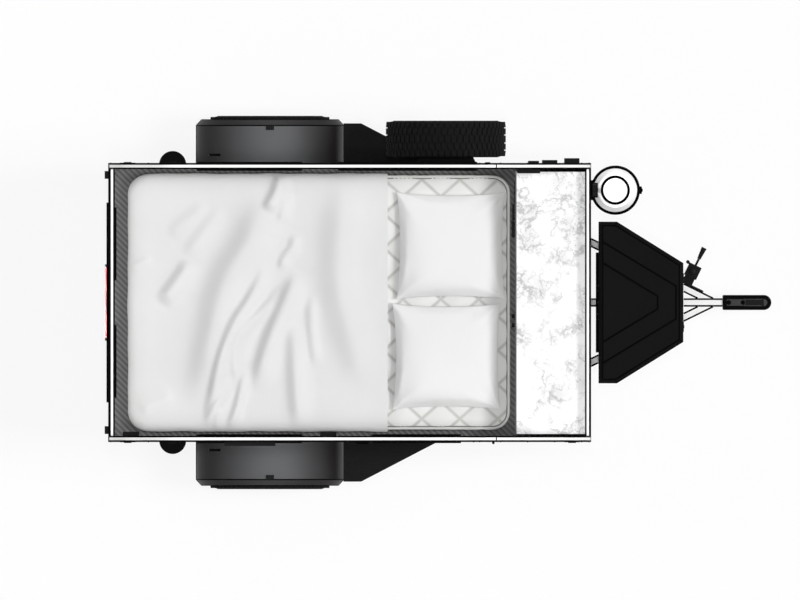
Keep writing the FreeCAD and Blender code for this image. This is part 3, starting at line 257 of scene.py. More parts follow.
def ribbedVinyl():  # dark grey floor covering with raised diagonal ribs, lighter where they wear
    values = {"Specular IOR Level": 0.25, "Roughness": 0.6}
    material, tree, shader, place = startMaterial("ribbedVinyl", "#5c5c5c", values)
    parts = axes(tree, place)
    along = maths(tree, "ADD", parts["X"], parts["Y"])
    wave = maths(tree, "SINE", maths(tree, "MULTIPLY", along, 2 * pi * perMetre(ribSizes["pitchMm"])))
    ribs = softStep(tree, wave, -0.7, 0.8)
    colourMix(tree, shader, ribs, "#646464", "#828282")
    addBump(tree, shader, ribs, ribSizes["depthMm"], 0.6)
    return material


def wovenCloth(name, first, second, threadMm, depthMm, sheen, turn=0.0):
    # two crossed waves stand for the threads, drawn coarser than real ones so that they show
    values = {"Roughness": 0.9, "Specular IOR Level": 0.15, "Sheen Weight": sheen, "Sheen Roughness": 0.5}
    material, tree, shader, place = startMaterial(name, first, values)
    turned = addNode(tree, "Mapping", {"Rotation": (0.0, 0.0, turn)}, {"Vector": place}).outputs[0]
    waves = {"Scale": perMetre(threadMm) / 20, "Distortion": 0.6, "Detail": 1.0}
    threads = [addNode(tree, "TexWave", waves, {"Vector": turned}, bands_direction=way).outputs["Fac"] for way in "XY"]
    addBump(tree, shader, maths(tree, "MULTIPLY", *threads), depthMm, 0.35)
    unevenColour(tree, shader, place, first, second, 260)
    return material


def quiltSeamShade(material):
    # painted shade along the sewn lines of the diamonds, standing in for the shade at the bottom of their channels
    s = mattressSizes
    tree = material.node_tree
    shader = tree.nodes["Principled BSDF"]
    parts = axes(tree, addNode(tree, "TexCoord").outputs["Object"])
    across = mapped(tree, parts["X"], s["crossX"], s["crossX"] + s["pitchX"], clamp=False)
    along = mapped(tree, parts["Y"], s["crossY"], s["crossY"] + s["pitchY"], clamp=False)
    shades = []
    for operation in ("ADD", "SUBTRACT"):
        away = maths(tree, "PINGPONG", maths(tree, operation, across, along), 0.5)
        # painted shade: darker in a band on each side of each seam
        shades.append(softStep(tree, away, 0.0, 0.110, 0.8, 0.0))
    high = mapped(tree, parts["Z"], s["seam"] - 0.02, s["seam"] - 0.006)
    share = maths(tree, "MULTIPLY", maths(tree, "MAXIMUM", *shades), high)
    plain = shader.inputs["Base Color"].links[0].from_socket
    colourMix(tree, shader, share, plain, "#bdbcb9")


mattressSizes = {
    "rear": -1.831, "front": 0.431, "half": 0.762, "bottom": 0.5526, "seam": 0.660,
    "corner": 0.105, "pitchX": 0.228, "pitchY": 0.205, "crossX": 0.0168, "crossY": 0.6348,
    "cells": 9, "piping": 0.0075, "start": 0.019, "cap": 0.004,
    # moves of the border panel (outwards, down): out to the piping, down, and in at the bottom
    "border": [
        (0.004, -0.004), (0.005, -0.003), (0.003, 0.012), (0.0, 0.032), (0.0, 0.032), (-0.002, 0.026), (-0.008, 0.0124),
    ],
}
quiltKnit = wovenCloth("quiltedKnit", "#efefee", "#e9e9e8", 3.0, 0.25, 0.2, pi / 4)
quiltSeamShade(quiltKnit)
pipingTape = wovenCloth("pipingTape", "#ececea", "#e4e4e2", 2.0, 0.15, 0.1)
# painted shade: grey tape that stands in for the shade in the groove inside the piping
grooveShadeTape = wovenCloth("grooveShadeTape", "#8b8a87", "#838280", 2.0, 0.15, 0.1)
blanketWeave = wovenCloth("blanketWeave", "#e5e5e5", "#e0e0e0", 4.0, 0.2, 0.25)
pillowCotton = wovenCloth("pillowCotton", "#f3f3f3", "#f0f0f0", 2.0, 0.12, 0.2)

slotMaterials = {
    "body_white": gelcoatSkin, "trim_black": blackTrim, "chassis_black": blackPowder,
    "tongue_grey": greyPowder, "fender_black": topLitBlackPaint(), "box_black": boxPaint,
    "tyre": tyreRubber, "wheel_grey": wheelEnamel, "hub_iron": castIron, "zinc": zincPlate,
    "glass": smokedAcrylic(), "lamp_red": redLens(), "lamp_black": blackMoulding,
    "cylinder_white": cylinderEnamel, "valve_black": valveNylon, "cabinet_white": laminate,
    "worktop_marble": marble(), "floor_grey": ribbedVinyl(), "mattress_white": quiltKnit,
    "blanket_white": blanketWeave, "pillow_white": pillowCotton, "fitting_black": blackMoulding,
}
slotOf = {row["node"]: row["material_slot"] for row in frame["record"]["subparts"]}
for name, node in nodes.items():
    node.data.materials.clear()
    node.data.materials.append(slotMaterials[slotOf[name]])
print("materials given to the CAD nodes")


# modelling tools

def piece(name, bm, material, body="trailer", replaced=(), sharp=35):
    mesh = bpy.data.meshes.new(name)
    bm.to_mesh(mesh)
    bm.free()
    mesh.materials.append(material)
    mesh.shade_smooth()
    mesh.set_sharp_from_angle(angle=radians(sharp))
    made = bpy.data.objects.new(name, mesh)
    scene.collection.objects.link(made)
    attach(made, body)
    if replaced:
        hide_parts(*replaced)
    return made


def lookAlong(direction):  # turns +Z to a direction
    return Vector(direction).normalized().to_track_quat("Z", "Y").to_matrix().to_4x4()


def finished(bm, made, bevel, edges, segments, matrix):  # bevels the edges of a fresh form and puts it in place
    if bevel:
        made = bmesh.ops.bevel(
            bm, geom=list(edges), offset=bevel, affect="EDGES", segments=segments, profile=0.5, material=-1,
        )["verts"]
    bmesh.ops.transform(bm, verts=made, matrix=matrix)
    return made


def addBlock(bm, size, centre, bevel=0.0, turn=None, segments=2):
    made = bmesh.ops.create_cube(bm, size=1.0)["verts"]
    bmesh.ops.scale(bm, verts=made, vec=Vector(size))
    edges = {e for v in made for e in v.link_edges}
    return finished(bm, made, bevel, edges, segments, Matrix.Translation(Vector(centre)) @ (turn or Matrix.Identity(4)))


def addRod(bm, radius, start, stop, sides=20, bevel=0.0, tip=None):
    start, stop = Vector(start), Vector(stop)
    tip, depth = radius if tip is None else tip, (stop - start).length
    made = bmesh.ops.create_cone(bm, cap_ends=True, segments=sides, radius1=radius, radius2=tip, depth=depth)["verts"]
    rims = {e for v in made for e in v.link_edges if abs(e.verts[0].co.z - e.verts[1].co.z) < 1e-7}
    return finished(bm, made, bevel, rims, 2, Matrix.Translation((start + stop) / 2) @ lookAlong(stop - start))



def addBolt(bm, foot, direction, across=0.017, head=0.008, washer=True):
    direction, foot = Vector(direction).normalized(), Vector(foot)
    if washer:
        addRod(bm, across * 0.75, foot, foot + direction * 0.002, 20, 0.0004)
        foot = foot + direction * 0.002
    addRod(bm, across / 2 / cos(pi / 6), foot, foot + direction * head, 6, 0.001)


def addScrew(bm, foot, direction, radius=0.0045, height=0.002):  # domed pan head
    direction, foot = Vector(direction).normalized(), Vector(foot)
    addRod(bm, radius, foot, foot + direction * height * 0.5, 12)
    addRod(bm, radius, foot + direction * height * 0.5, foot + direction * height, 12, tip=radius * 0.6)


def spinRing(bm, section, centre, axis, steps, closed=True):
    # section is (along the axis, radius) pairs; the ring turns about the axis through centre
    axis, centre = Vector(axis).normalized(), Vector(centre)
    outwards = axis.orthogonal().normalized()
    verts = [bm.verts.new(centre + axis * along + outwards * radius) for along, radius in section]
    pairs = list(zip(verts, verts[1:] + verts[:1])) if closed else list(zip(verts, verts[1:]))
    edges = [bm.edges.new(pair) for pair in pairs]
    bmesh.ops.spin(bm, geom=verts + edges, cent=centre, axis=axis, angle=2 * pi, steps=steps, use_merge=True)
    bmesh.ops.recalc_face_normals(bm, faces=bm.faces)


def tubeAlong(bm, points, radius, closed=False, sides=3):
    line = bpy.data.curves.new("line", "CURVE")
    line.dimensions, line.bevel_depth, line.bevel_resolution, line.use_fill_caps = "3D", radius, sides, True
    spline = line.splines.new("POLY")
    spline.points.add(len(points) - 1)
    for point, place in zip(spline.points, points):
        point.co = (*place, 1.0)
    spline.use_cyclic_u = closed
    holder = bpy.data.objects.new("line", line)
    mesh = bpy.data.meshes.new_from_object(holder)
    bm.from_mesh(mesh)
    for item, store in ((holder, bpy.data.objects), (line, bpy.data.curves), (mesh, bpy.data.meshes)):
        store.remove(item)


def flatBead(bm, points, width, z, high=0.001, closed=False):
    # a low oval bead along a level line
    before = set(bm.verts)
    tubeAlong(bm, [(x, y, z) for x, y in points], width / 2, closed)
    for v in bm.verts:
        if v not in before:
            v.co.z = z + (v.co.z - z) * 2 * high / width


def roundedOutline(x0, x1, y0, y1, radii, steps=8):
    # corner radii in the order rear right, front right, front left, rear left
    points = []
    corners = ((x0, y0, 1, 1, 180), (x1, y0, -1, 1, 270), (x1, y1, -1, -1, 0), (x0, y1, 1, -1, 90))
    for (x, y, sx, sy, first), radius in zip(corners, radii):
        if not radius:
            points.append((x, y))
            continue
        for k in range(steps + 1):
            a = radians(first + 90 * k / steps)
            points.append((x + sx * radius + radius * cos(a), y + sy * radius + radius * sin(a)))
    return points


# bed

def clipToOutline(bm, outline):
    # cuts a flat grid to a convex outline, one side at a time
    for (x0, y0), (x1, y1) in zip(outline, outline[1:] + outline[:1]):
        outwards = Vector((y1 - y0, x0 - x1, 0.0))
        if outwards.length > 1e-6:
            bmesh.ops.bisect_plane(
                bm, geom=bm.verts[:] + bm.edges[:] + bm.faces[:], dist=1e-6,
                plane_co=Vector((x0, y0, 0.0)), plane_no=outwards.normalized(), clear_outer=True,
            )
    bmesh.ops.remove_doubles(bm, verts=bm.verts, dist=0.0012)


bedMiddle = Vector(((mattressSizes["rear"] + mattressSizes["front"]) / 2, 0.0, 0.0))


def growSkirt(bm, steps):
    # steps are (outwards, down) moves of the border, a convex line round the bed's middle
    place = lambda v: tuple(round(c, 6) for c in v.co)
    for outwards, down in steps:
        border = [e for e in bm.edges if e.is_boundary]
        sides = {}
        for a, b in (e.verts for e in border):
            side = (b.co - a.co).cross(Vector((0, 0, 1))).normalized()
            if side.dot(a.co - bedMiddle) < 0:
                side.negate()
            for v in (a, b):
                sides[place(v)] = sides.get(place(v), Vector()) + side
        for v in bmesh.ops.extrude_edge_only(bm, edges=border)["geom"]:
            if isinstance(v, bmesh.types.BMVert):
                v.co += sides[place(v)].normalized() * outwards + Vector((0, 0, -down))



def faceOutwards(bm):
    bmesh.ops.recalc_face_normals(bm, faces=bm.faces)
    if bm.calc_volume(signed=True) < 0:
        bmesh.ops.reverse_faces(bm, faces=bm.faces)


def puffUp(bm, name, cap, frames, pressure, pinned=None, stiffness=15.0, bending=0.5):
    # blows the closed case up as cloth and moves each point towards where it ends, at most by cap
    mesh = bpy.data.meshes.new(name + "Work")
    bm.to_mesh(mesh)
    work = bpy.data.objects.new(name + "Work", mesh)
    scene.collection.objects.link(work)
    cloth = work.modifiers.new("Cloth", "CLOTH")
    settings = cloth.settings
    settings.quality = 6
    settings.mass = 0.3
    settings.tension_stiffness = settings.compression_stiffness = stiffness
    settings.shear_stiffness = stiffness / 3
    settings.bending_stiffness = bending
    settings.air_damping = 2.0
    settings.use_pressure = True
    settings.uniform_pressure_force = pressure
    settings.effector_weights.gravity = 0.0
    if pinned:
        group = work.vertex_groups.new(name="seams")
        group.add(pinned, 1.0, "REPLACE")
        settings.vertex_group_mass = "seams"
    cloth.point_cache.frame_start, cloth.point_cache.frame_end = 1, frames
    for k in range(1, frames + 1):
        scene.frame_set(k)
    blown = work.evaluated_get(bpy.context.evaluated_depsgraph_get()).data.vertices
    moves = [end.co - v.co for v, end in zip(bm.verts, blown)]
    print(name, "swells by", round(max(m.length for m in moves), 4))
    for v, move in zip(bm.verts, moves):
        if move.length > cap:
            move.length = cap
        v.co += move
    scene.frame_set(1)
    bpy.data.objects.remove(work)



def roundOff(made):
    smooth = made.modifiers.new("round", "SUBSURF")
    smooth.levels = smooth.render_levels = 1


def bedOutline(inset, rear, steps):  # the mattress's plan drawn in by inset, with its rear corners' radius
    s = mattressSizes
    front, half = s["corner"] - inset, s["half"] - inset
    return roundedOutline(s["rear"] + inset, s["front"] - inset, -half, half, [rear, front, front, rear], steps)


def makeMattress():
    s = mattressSizes
    bm = bmesh.new()
    cellX, cellY = s["pitchX"] / s["cells"] / 2, s["pitchY"] / s["cells"] / 2
    # a grid turned by 45 degrees and squeezed, so that its edges run along the quilting
    reach = 2 * s["cells"] * 12
    bmesh.ops.create_grid(bm, x_segments=reach, y_segments=reach, size=reach / 2)
    for v in bm.verts:
        u, w = round(v.co.x), round(v.co.y)
        v.co = Vector(((u + w) * cellX + s["crossX"], (u - w) * cellY + s["crossY"], 0.0))
    clipToOutline(bm, bedOutline(0.012, 0.06, 7))
    seams = set()
    for v in bm.verts:
        across, along = (v.co.x - s["crossX"]) / s["pitchX"], (v.co.y - s["crossY"]) / s["pitchY"]
        u, w = across + along, across - along
        if abs(u - round(u)) < 0.002 or abs(w - round(w)) < 0.002:
            seams.add(v)
        v.co.z = s["seam"] + s["start"] * abs(sin(pi * u) * sin(pi * w)) ** 0.8
    for v in {v for e in bm.edges if e.is_boundary for v in e.verts}:
        v.co.z = s["seam"]
        seams.add(v)
    bm.verts.index_update()
    pinned = [v.index for v in seams]
    tops = set(range(len(bm.verts)))
    growSkirt(bm, s["border"])
    bmesh.ops.contextual_create(bm, geom=[e for e in bm.edges if e.is_boundary])
    bmesh.ops.triangulate(bm, faces=[f for f in bm.faces if len(f.verts) > 4])
    faceOutwards(bm)
    bm.verts.index_update()
    pinned += [v.index for v in bm.verts if v.index not in tops]
    puffUp(bm, "mattress", s["cap"], 20, 8.0, pinned, 5.0, 0.1)
    made = piece("mattressPad", bm, quiltKnit, replaced=["mattress"], sharp=50)
    roundOff(made)
    bm = bmesh.new()
    rim = s["piping"]
    for z in (s["seam"] + 0.0065, s["bottom"] + rim + 0.001):
        tubeAlong(bm, [(x, y, z) for x, y in bedOutline(rim, 0.06, 10)], rim, True)
    piece("mattressPiping", bm, pipingTape)
    # painted shade: a grey tape at the bottom of the groove inside the piping stands in for the groove's shade
    bm = bmesh.new()
    tubeAlong(bm, [(x, y, s["seam"] + 0.0040) for x, y in bedOutline(2 * rim + 0.0025, 0.05, 10)], 0.0042, True)
    piece("mattressGrooveShade", bm, grooveShadeTape)


makeMattress()
print("mattress done")

pillowSizes = {
    "left": {"x": (-0.262, 0.416), "y": (0.006, 0.676)},
    "right": {"x": (-0.286, 0.390), "y": (-0.656, 0.008)},
    "base": 0.6835, "grid": 56, "crown": 0.108, "belly": 0.030, "waist": 0.055,
    "pressure": 3.0, "frames": 14, "cap": 0.012, "ripple": 0.007, "fold": 0.034,
    "leanX": 0.42, "leanY": 0.38, "blunt": 0.52, "ramp": 0.084, "crease": 0.056, "creaseShare": 0.25,
}


def makePillow(side):
    # a filled case: a tall dome on a flatter one, sewn along a rim whose corners stick out
    s = pillowSizes
    (x0, x1), (y0, y1) = s[side]["x"], s[side]["y"]
    bm = bmesh.new()
    bmesh.ops.create_grid(bm, x_segments=s["grid"], y_segments=s["grid"], size=0.5)
    copy = bmesh.ops.duplicate(bm, geom=bm.verts[:] + bm.edges[:] + bm.faces[:])
    low = {g for g in copy["geom"] if isinstance(g, bmesh.types.BMVert)}
    bmesh.ops.reverse_faces(bm, faces=[g for g in copy["geom"] if isinstance(g, bmesh.types.BMFace)])
    for v in bm.verts:
        u, w = v.co.x * 2, v.co.y * 2
        # the case is fullest in its middle and thins towards the corners
        leantU, leantW = u + s["leanX"] * (1 - u * u), w + s["leanY"] * (1 - w * w)
        # an even slope on the right, and a crease along the rear side
        dome = max(0.0, 1 - leantW * leantW) ** s["blunt"]
        ramp = 0.9 * (1 + w) * (y1 - y0) / 2 / s["ramp"]
        across = (dome ** -4 + ramp ** -4) ** -0.25 if dome > 1e-4 and ramp > 1e-4 else 0.0
        rear = min(1.0, (1 + u) * (x1 - x0) / 2 / s["crease"])
        crease = rear * min(1.0, (1 - u) / 0.3)
        crown = max(0.0, 1 - leantU * leantU) ** 0.8
        full = across * (s["creaseShare"] * crease + (1 - s["creaseShare"]) * crown)
        along = 1 - s["waist"] * (1 - w * w) * abs(u) ** 3
        upward = 1 - s["waist"] * (1 - u * u) * abs(w) ** 3
        # slack cloth gathers in short ripples square to the seam
        near = exp(-((1 - abs(w)) / 0.16) ** 2) * (1 - u * u) + exp(-((1 - abs(u)) / 0.16) ** 2) * (1 - w * w)
        gather = s["ripple"] * near * (sin(u * 19 + 2 * w) + 0.6 * sin(w * 23 - 3 * u + 1.3)) * full
        # and long soft folds run in from the corners
        for cu, cw in ((-1, -1), (1, -1), (1, 1), (-1, 1)):
            du, dw = cu * (cu - u), cw * (cw - w)
            reach = hypot(du, dw)
            turn = atan2(dw, du)
            gather += s["fold"] * reach * exp(-(reach / 0.55) ** 2) * sin(turn * 7 + cu + 2 * cw) * sin(2 * turn)
        v.co = Vector((u * along / 2, w * upward / 2, (-s["belly"] if v in low else s["crown"]) * full + gather))
    bmesh.ops.remove_doubles(bm, verts=bm.verts, dist=1e-5)
    for v in bm.verts:
        v.co.x = (x0 + x1) / 2 + v.co.x * (x1 - x0)
        v.co.y = (y0 + y1) / 2 + v.co.y * (y1 - y0)
    faceOutwards(bm)
    puffUp(bm, side + "Pillow", s["cap"], s["frames"], s["pressure"])
    lowest = min(v.co.z for v in bm.verts)
    print(side, "pillow", [round(max(v.co[k] for v in bm.verts) - min(v.co[k] for v in bm.verts), 3) for k in range(3)])
    # it rests on the mattress: the lower side is pressed flat
    sink = -lowest * 0.6
    for v in bm.verts:
        z = v.co.z + sink
        v.co.z = s["base"] + (z if z > 0.010 else 0.010 * exp((z - 0.010) / 0.010))
    made = piece(side + "PillowSoft", bm, pillowCotton, replaced=["pillows"], sharp=180)
    roundOff(made)


for side in ("left", "right"):
    makePillow(side)
print("pillows done")

blanketSizes = {
    "rear": -1.861, "front": -0.300, "half": 0.774, "corner": 0.130, "top": 0.694, "hem": 0.570,
    "grid": 0.0125, "thick": 0.006, "edge": 0.045, "loft": 0.028, "rise": 0.12,
}
# folds as the picture shows them: points along the crest, height, half width on the steep and on the long side
folds = [
    ([(-1.05, 0.70), (-1.10, 0.40), (-1.28, 0.14), (-1.35, -0.18), (-1.41, -0.48), (-1.45, -0.66)], 0.086, 0.092, 0.15),
    ([(-1.03, 0.26), (-1.06, 0.15), (-1.14, 0.00), (-1.22, -0.11),
      (-1.31, -0.34), (-1.35, -0.56), (-1.41, -0.76)], 0.057, 0.025, 0.060),
    ([(-0.935, 0.80), (-0.955, 0.71), (-0.980, 0.64), (-1.04, 0.54)], 0.054, 0.030, 0.050),
    ([(-0.83, 0.20), (-0.93, -0.03), (-1.01, -0.22), (-1.06, -0.38), (-1.10, -0.55)], 0.074, 0.042, 0.075),
    ([(-0.93, 0.12), (-1.03, -0.03), (-1.14, -0.13), (-1.20, -0.20),
      (-1.225, -0.31), (-1.215, -0.44), (-1.205, -0.57)], 0.039, 0.022, 0.040),
    ([(-0.861, 0.42), (-0.872, 0.33), (-0.925, 0.28), (-0.949, 0.18)], 0.030, 0.018, 0.035),
    ([(-0.905, 0.66), (-0.92, 0.58), (-0.95, 0.48)], 0.021, 0.020, 0.035),
    ([(-0.865, -0.08), (-0.86, -0.42), (-0.83, -0.78)], 0.052, 0.045, 0.060),
    ([(-0.55, 0.82), (-0.566, 0.61), (-0.593, 0.34), (-0.598, 0.13), (-0.566, -0.05),
      (-0.505, -0.25), (-0.445, -0.44), (-0.43, -0.60)], 0.059, 0.095, 0.13),
    ([(-0.754, 0.06), (-0.767, -0.09), (-0.751, -0.25), (-0.73, -0.40)], 0.027, 0.024, 0.035),
    ([(-1.48, 0.26), (-1.57, 0.12), (-1.67, -0.01)], 0.052, 0.036, 0.06),
    ([(-1.155, -0.38), (-1.185, -0.53), (-1.210, -0.63), (-1.262, -0.78)], 0.039, 0.016, 0.035),
    ([(-1.245, -0.43), (-1.275, -0.54), (-1.355, -0.64), (-1.40, -0.74)], 0.027, 0.015, 0.03),
    ([(-1.320, -0.63), (-1.330, -0.78)], 0.021, 0.013, 0.02),
    ([(-1.38, 0.60), (-1.50, 0.50), (-1.62, 0.40)], 0.018, 0.035, 0.05),
    ([(-1.29, 0.58), (-1.40, 0.44), (-1.52, 0.26)], 0.019, 0.035, 0.05),
    ([(-1.80, -0.66), (-1.72, -0.61), (-1.58, -0.55)], 0.017, 0.035, 0.06),
    ([(-1.72, 0.27), (-1.79, 0.24), (-1.85, 0.20)], 0.010, 0.018, 0.03),
]


def eased(line, rounds=2):  # cuts the corners of a line so that it curves
    for k in range(rounds):
        fresh = [line[0]]
        for (ax, ay), (bx, by) in zip(line, line[1:]):
            fresh += [(ax * 0.75 + bx * 0.25, ay * 0.75 + by * 0.25), (ax * 0.25 + bx * 0.75, ay * 0.25 + by * 0.75)]
        line = fresh + [line[-1]]
    return line


def foldHeight(x, y, prepared):
    total = 0.0
    for runs, length, (line, high, steep, long) in prepared:
        nearest, where, side = 1e9, 0.0, 1.0
        for ax, ay, dx, dy, run, before in runs:
            t = max(0.0, min(1.0, ((x - ax) * dx + (y - ay) * dy) / (run * run)))
            ox, oy = x - ax - dx * t, y - ay - dy * t
            away = hypot(ox, oy)
            if away < nearest:
                nearest, where = away, (before + run * t) / length
                side = dx * (y - ay) - dy * (x - ax)
        # side is negative on the right of the line as it runs: the steep side faces the rear left
        width = steep if side < 0 else long
        ends = min(1.0, where / 0.25, (1 - where) / 0.25)
        ends = ends * ends * (3 - 2 * ends)
        total += high * ends * exp(-((nearest / width) ** 2))
    return total


def makeBlanket():
    s = blanketSizes
    bm = bmesh.new()
    countX, countY = round((s["front"] - s["rear"]) / s["grid"]), round(2 * s["half"] / s["grid"])
    bmesh.ops.create_grid(bm, x_segments=countX, y_segments=countY, size=0.5)
    edge = s["edge"]
    for v in bm.verts:
        v.co.x = (s["rear"] + edge + s["front"]) / 2 + v.co.x * (s["front"] - s["rear"] - edge)
        v.co.y *= 2 * (s["half"] - edge)
    outline = roundedOutline(s["rear"] + edge, s["front"] + 0.01, -s["half"] + edge, s["half"] - edge,
                             [s["corner"] - edge, 0.0, 0.0, s["corner"] - edge], 8)
    clipToOutline(bm, outline)
    border = [e for e in bm.edges if e.is_boundary and not all(v.co.x > s["front"] - 0.002 for v in e.verts)]
    # over the edge in five turns, then straight down
    arc = [pi / 2 * k / 5 for k in range(6)]
    steps = [(edge * (sin(b) - sin(a)), edge * (cos(a) - cos(b))) for a, b in zip(arc, arc[1:])]
    drop = s["top"] - s["hem"]
    steps += [(0.0, (drop - edge) / 6)] * 6
    for out, down in steps:
        pushed = bmesh.ops.extrude_edge_only(bm, edges=border)["geom"]
        fresh = [g for g in pushed if isinstance(g, bmesh.types.BMVert)]
        border = [g for g in pushed if isinstance(g, bmesh.types.BMEdge) and all(v in fresh for v in g.verts)]
        for v in fresh:
            v.co += skirtSide(v.co) * out + Vector((0, 0, -down))
    prepared = []
    for fold in folds:
        line = eased(fold[0])
        runs, length = [], 0.0
        for (ax, ay), (bx, by) in zip(line, line[1:]):
            run = hypot(bx - ax, by - ay)
            runs.append((ax, ay, bx - ax, by - ay, run, length))
            length += run
        prepared.append((runs, length, fold))
    for v in bm.verts:
        depth = -v.co.z
        # it lies fuller in the middle than at its rear edge and its hem
        rearward = min(1.0, max(0.0, (v.co.x - s["rear"] - 0.02) / s["rise"]))
        forward = min(1.0, max(0.0, (s["front"] - v.co.x) / 0.40))
        loft = s["loft"] * rearward * (2 - rearward) * forward * forward * (3 - 2 * forward)
        lift = (foldHeight(v.co.x, v.co.y, prepared) + loft) * max(0.0, 1 - depth / 0.06)
        # the hanging part waves gently and swells a little over the folds
        wave = 0.004 * sin(v.co.x * 21 + v.co.y * 9) * sin(v.co.x * 8.3 - v.co.y * 17 + 1.0)
        swell = min(1.0, depth / 0.08) * (wave - 0.004)
        v.co = v.co + skirtSide(v.co) * swell + Vector((0, 0, s["top"] + lift))
    bmesh.ops.smooth_vert(bm, verts=bm.verts, factor=0.5, use_axis_x=True, use_axis_y=True, use_axis_z=True)
    bmesh.ops.recalc_face_normals(bm, faces=bm.faces)
    if sum(f.normal.z * f.calc_area() for f in bm.faces) < 0:
        bmesh.ops.reverse_faces(bm, faces=bm.faces)
    print("blanket faces", len(bm.faces), "area", round(sum(f.calc_area() for f in bm.faces), 3))
    made = piece("bedBlanket", bm, blanketWeave, replaced=["blanket"], sharp=180)
    wall = made.modifiers.new("cloth", "SOLIDIFY")
    wall.thickness, wall.offset = s["thick"], 0.0
    roundOff(made)


def skirtSide(place):  # which way is outwards at a point of the blanket's border
    s = blanketSizes
    cornerX, cornerY = s["rear"] + s["corner"], s["half"] - s["corner"]
    if place.x < cornerX and abs(place.y) > cornerY:
        return Vector((place.x - cornerX, copysign(abs(place.y) - cornerY, place.y), 0.0)).normalized()
    if place.x < cornerX and place.x - s["rear"] < s["half"] - abs(place.y):
        return Vector((-1.0, 0.0, 0.0))
    return Vector((0.0, copysign(1.0, place.y), 0.0))



makeBlanket()
print("blanket done")


# wheels

tyreSizes = {
    "radius": 0.36, "pitches": 60, "spin": 96,
    "blockShare": 0.74, "blockHigh": 0.013, "sunk": 0.0069, "skew": 0.18, "edgeDrop": 0.0035,
}
# half section of the carcass, from its bead to the middle of the tread: across, radius
tyreSection = [
    (0.0640, 0.1912), (0.0774, 0.1912), (0.0778, 0.2139), (0.0860, 0.2142), (0.0985, 0.2200), (0.1045, 0.2330),
    (0.1062, 0.2335), (0.1078, 0.2365), (0.1068, 0.2395), (0.1090, 0.2600), (0.1098, 0.2850), (0.1088, 0.3060),
    (0.1100, 0.3080), (0.1100, 0.3130), (0.1072, 0.3160), (0.1035, 0.3330), (0.0985, 0.3440), (0.0940, 0.3490),
    (0.0600, 0.3512), (0.0200, 0.3516),
]
# rows of tread blocks: both edges across, and the shift along the tread in pitches
treadRows = [
    (-0.1035, -0.0700, 0.25), (-0.0640, -0.0270, 0.75), (-0.0210, 0.0210, 0.25),
    (0.0270, 0.0640, 0.75), (0.0700, 0.1035, 0.25),
]


def makeTyre(name, node, centre, body):
    s = tyreSizes
    bm = bmesh.new()
    outer = tyreSection + [(-w, r) for w, r in reversed(tyreSection)]
    inner = [(-0.064, 0.205), (-0.100, 0.250), (-0.101, 0.300), (-0.090, 0.335)]
    inner += [(-w, r) for w, r in reversed(inner)]
    spinRing(bm, outer + inner, centre, (0, 1, 0), s["spin"])
    blocks = bmesh.new()
    length = 2 * pi * s["radius"] / s["pitches"] * s["blockShare"]
    up = Matrix.Translation((0, 0, s["radius"] - s["sunk"]))
    for low, high, shift in treadRows:
        middle, width = (low + high) / 2, high - low
        edgeDrop = s["edgeDrop"] if abs(middle) > 0.08 else 0.0
        skew = s["skew"] * (1 if middle > 0.001 else -1 if middle < -0.001 else 0)
        for k in range(s["pitches"]):
            verts = addBlock(blocks, (length, width, s["blockHigh"]), (0, 0, 0), 0.0016, None, 1)
            for v in verts:
                v.co.x += v.co.y * skew
                v.co.z -= edgeDrop * max(0.0, (v.co.y if middle > 0 else -v.co.y) / width + 0.5)
            turn = Matrix.Rotation(2 * pi * (k + shift) / s["pitches"], 4, "Y")
            place = Matrix.Translation(Vector(centre) + Vector((0, middle, 0))) @ turn @ up
            bmesh.ops.transform(blocks, verts=verts, matrix=place)
    mesh = bpy.data.meshes.new("blocks")
    blocks.to_mesh(mesh)
    blocks.free()
    bm.from_mesh(mesh)
    bpy.data.meshes.remove(mesh)
    piece(name, bm, tyreRubber, body, [node], 32)


wheelSizes = {"nuts": 6, "nutRing": 0.068, "nutAcross": 0.021, "nutLong": 0.016, "stemRing": 0.168}


def dressWheel(name, centre, side, body, cap=True):
    s = wheelSizes
    out = Vector((0, side, 0))
    centre = Vector(centre)
    bm = bmesh.new()
    for k in range(s["nuts"]):
        a = 2 * pi * (k + 0.5) / s["nuts"]
        foot = centre + Vector((sin(a), 0, cos(a))) * s["nutRing"]
        addRod(bm, 0.0145, foot, foot + out * 0.004, 20, 0.001, tip=0.012)
        addRod(bm, s["nutAcross"] / 1.732, foot + out * 0.004, foot + out * s["nutLong"], 6, 0.0012)
        addRod(bm, 0.0065, foot + out * s["nutLong"], foot + out * (s["nutLong"] + 0.004), 14, 0.001)
    a = radians(22.5)
    foot = centre + Vector((sin(a), 0, cos(a))) * s["stemRing"]
    addRod(bm, 0.006, foot, foot + out * 0.022, 14, 0.0008)
    addRod(bm, 0.0048, foot + out * 0.022, foot + out * 0.034, 12, 0.0008)
    piece(name + "Nuts", bm, zincPlate, body)
    bm = bmesh.new()
    # pressed ridge round the disc's middle
    ridge = [(0.0, 0.046), (side * 0.003, 0.048), (side * 0.0035, 0.052), (0.0, 0.0545)]
    spinRing(bm, ridge, centre, (0, 1, 0), 64)
    if cap:
        tip = side * 0.040
        dome = [(0.0, 0.0), (0.0, 0.036), (0.004, 0.034), (0.008, 0.026), (0.0095, 0.012), (0.0098, 0.0)]
        spinRing(bm, [(tip + side * along, radius) for along, radius in dome], centre, (0, 1, 0), 48, False)
    piece(name + "Cap", bm, wheelEnamel, body)


wheelX, wheelZ = -1.008, 0.36
for side, name in ((1, "left"), (-1, "right")):
    body = "wheel_" + name
    centre = (wheelX, side * 1.01, wheelZ)
    makeTyre(name + "Tyre", "tyre_" + name, centre, body)
    dressWheel(name + "Wheel", centre, side, body)
spareCentre = (0.047, 0.981, 0.932)
makeTyre("spareTyre", "spare_tyre", spareCentre, "trailer")
dressWheel("spareWheel", spareCentre, 1, "trailer", False)
print("wheels done")


# body details

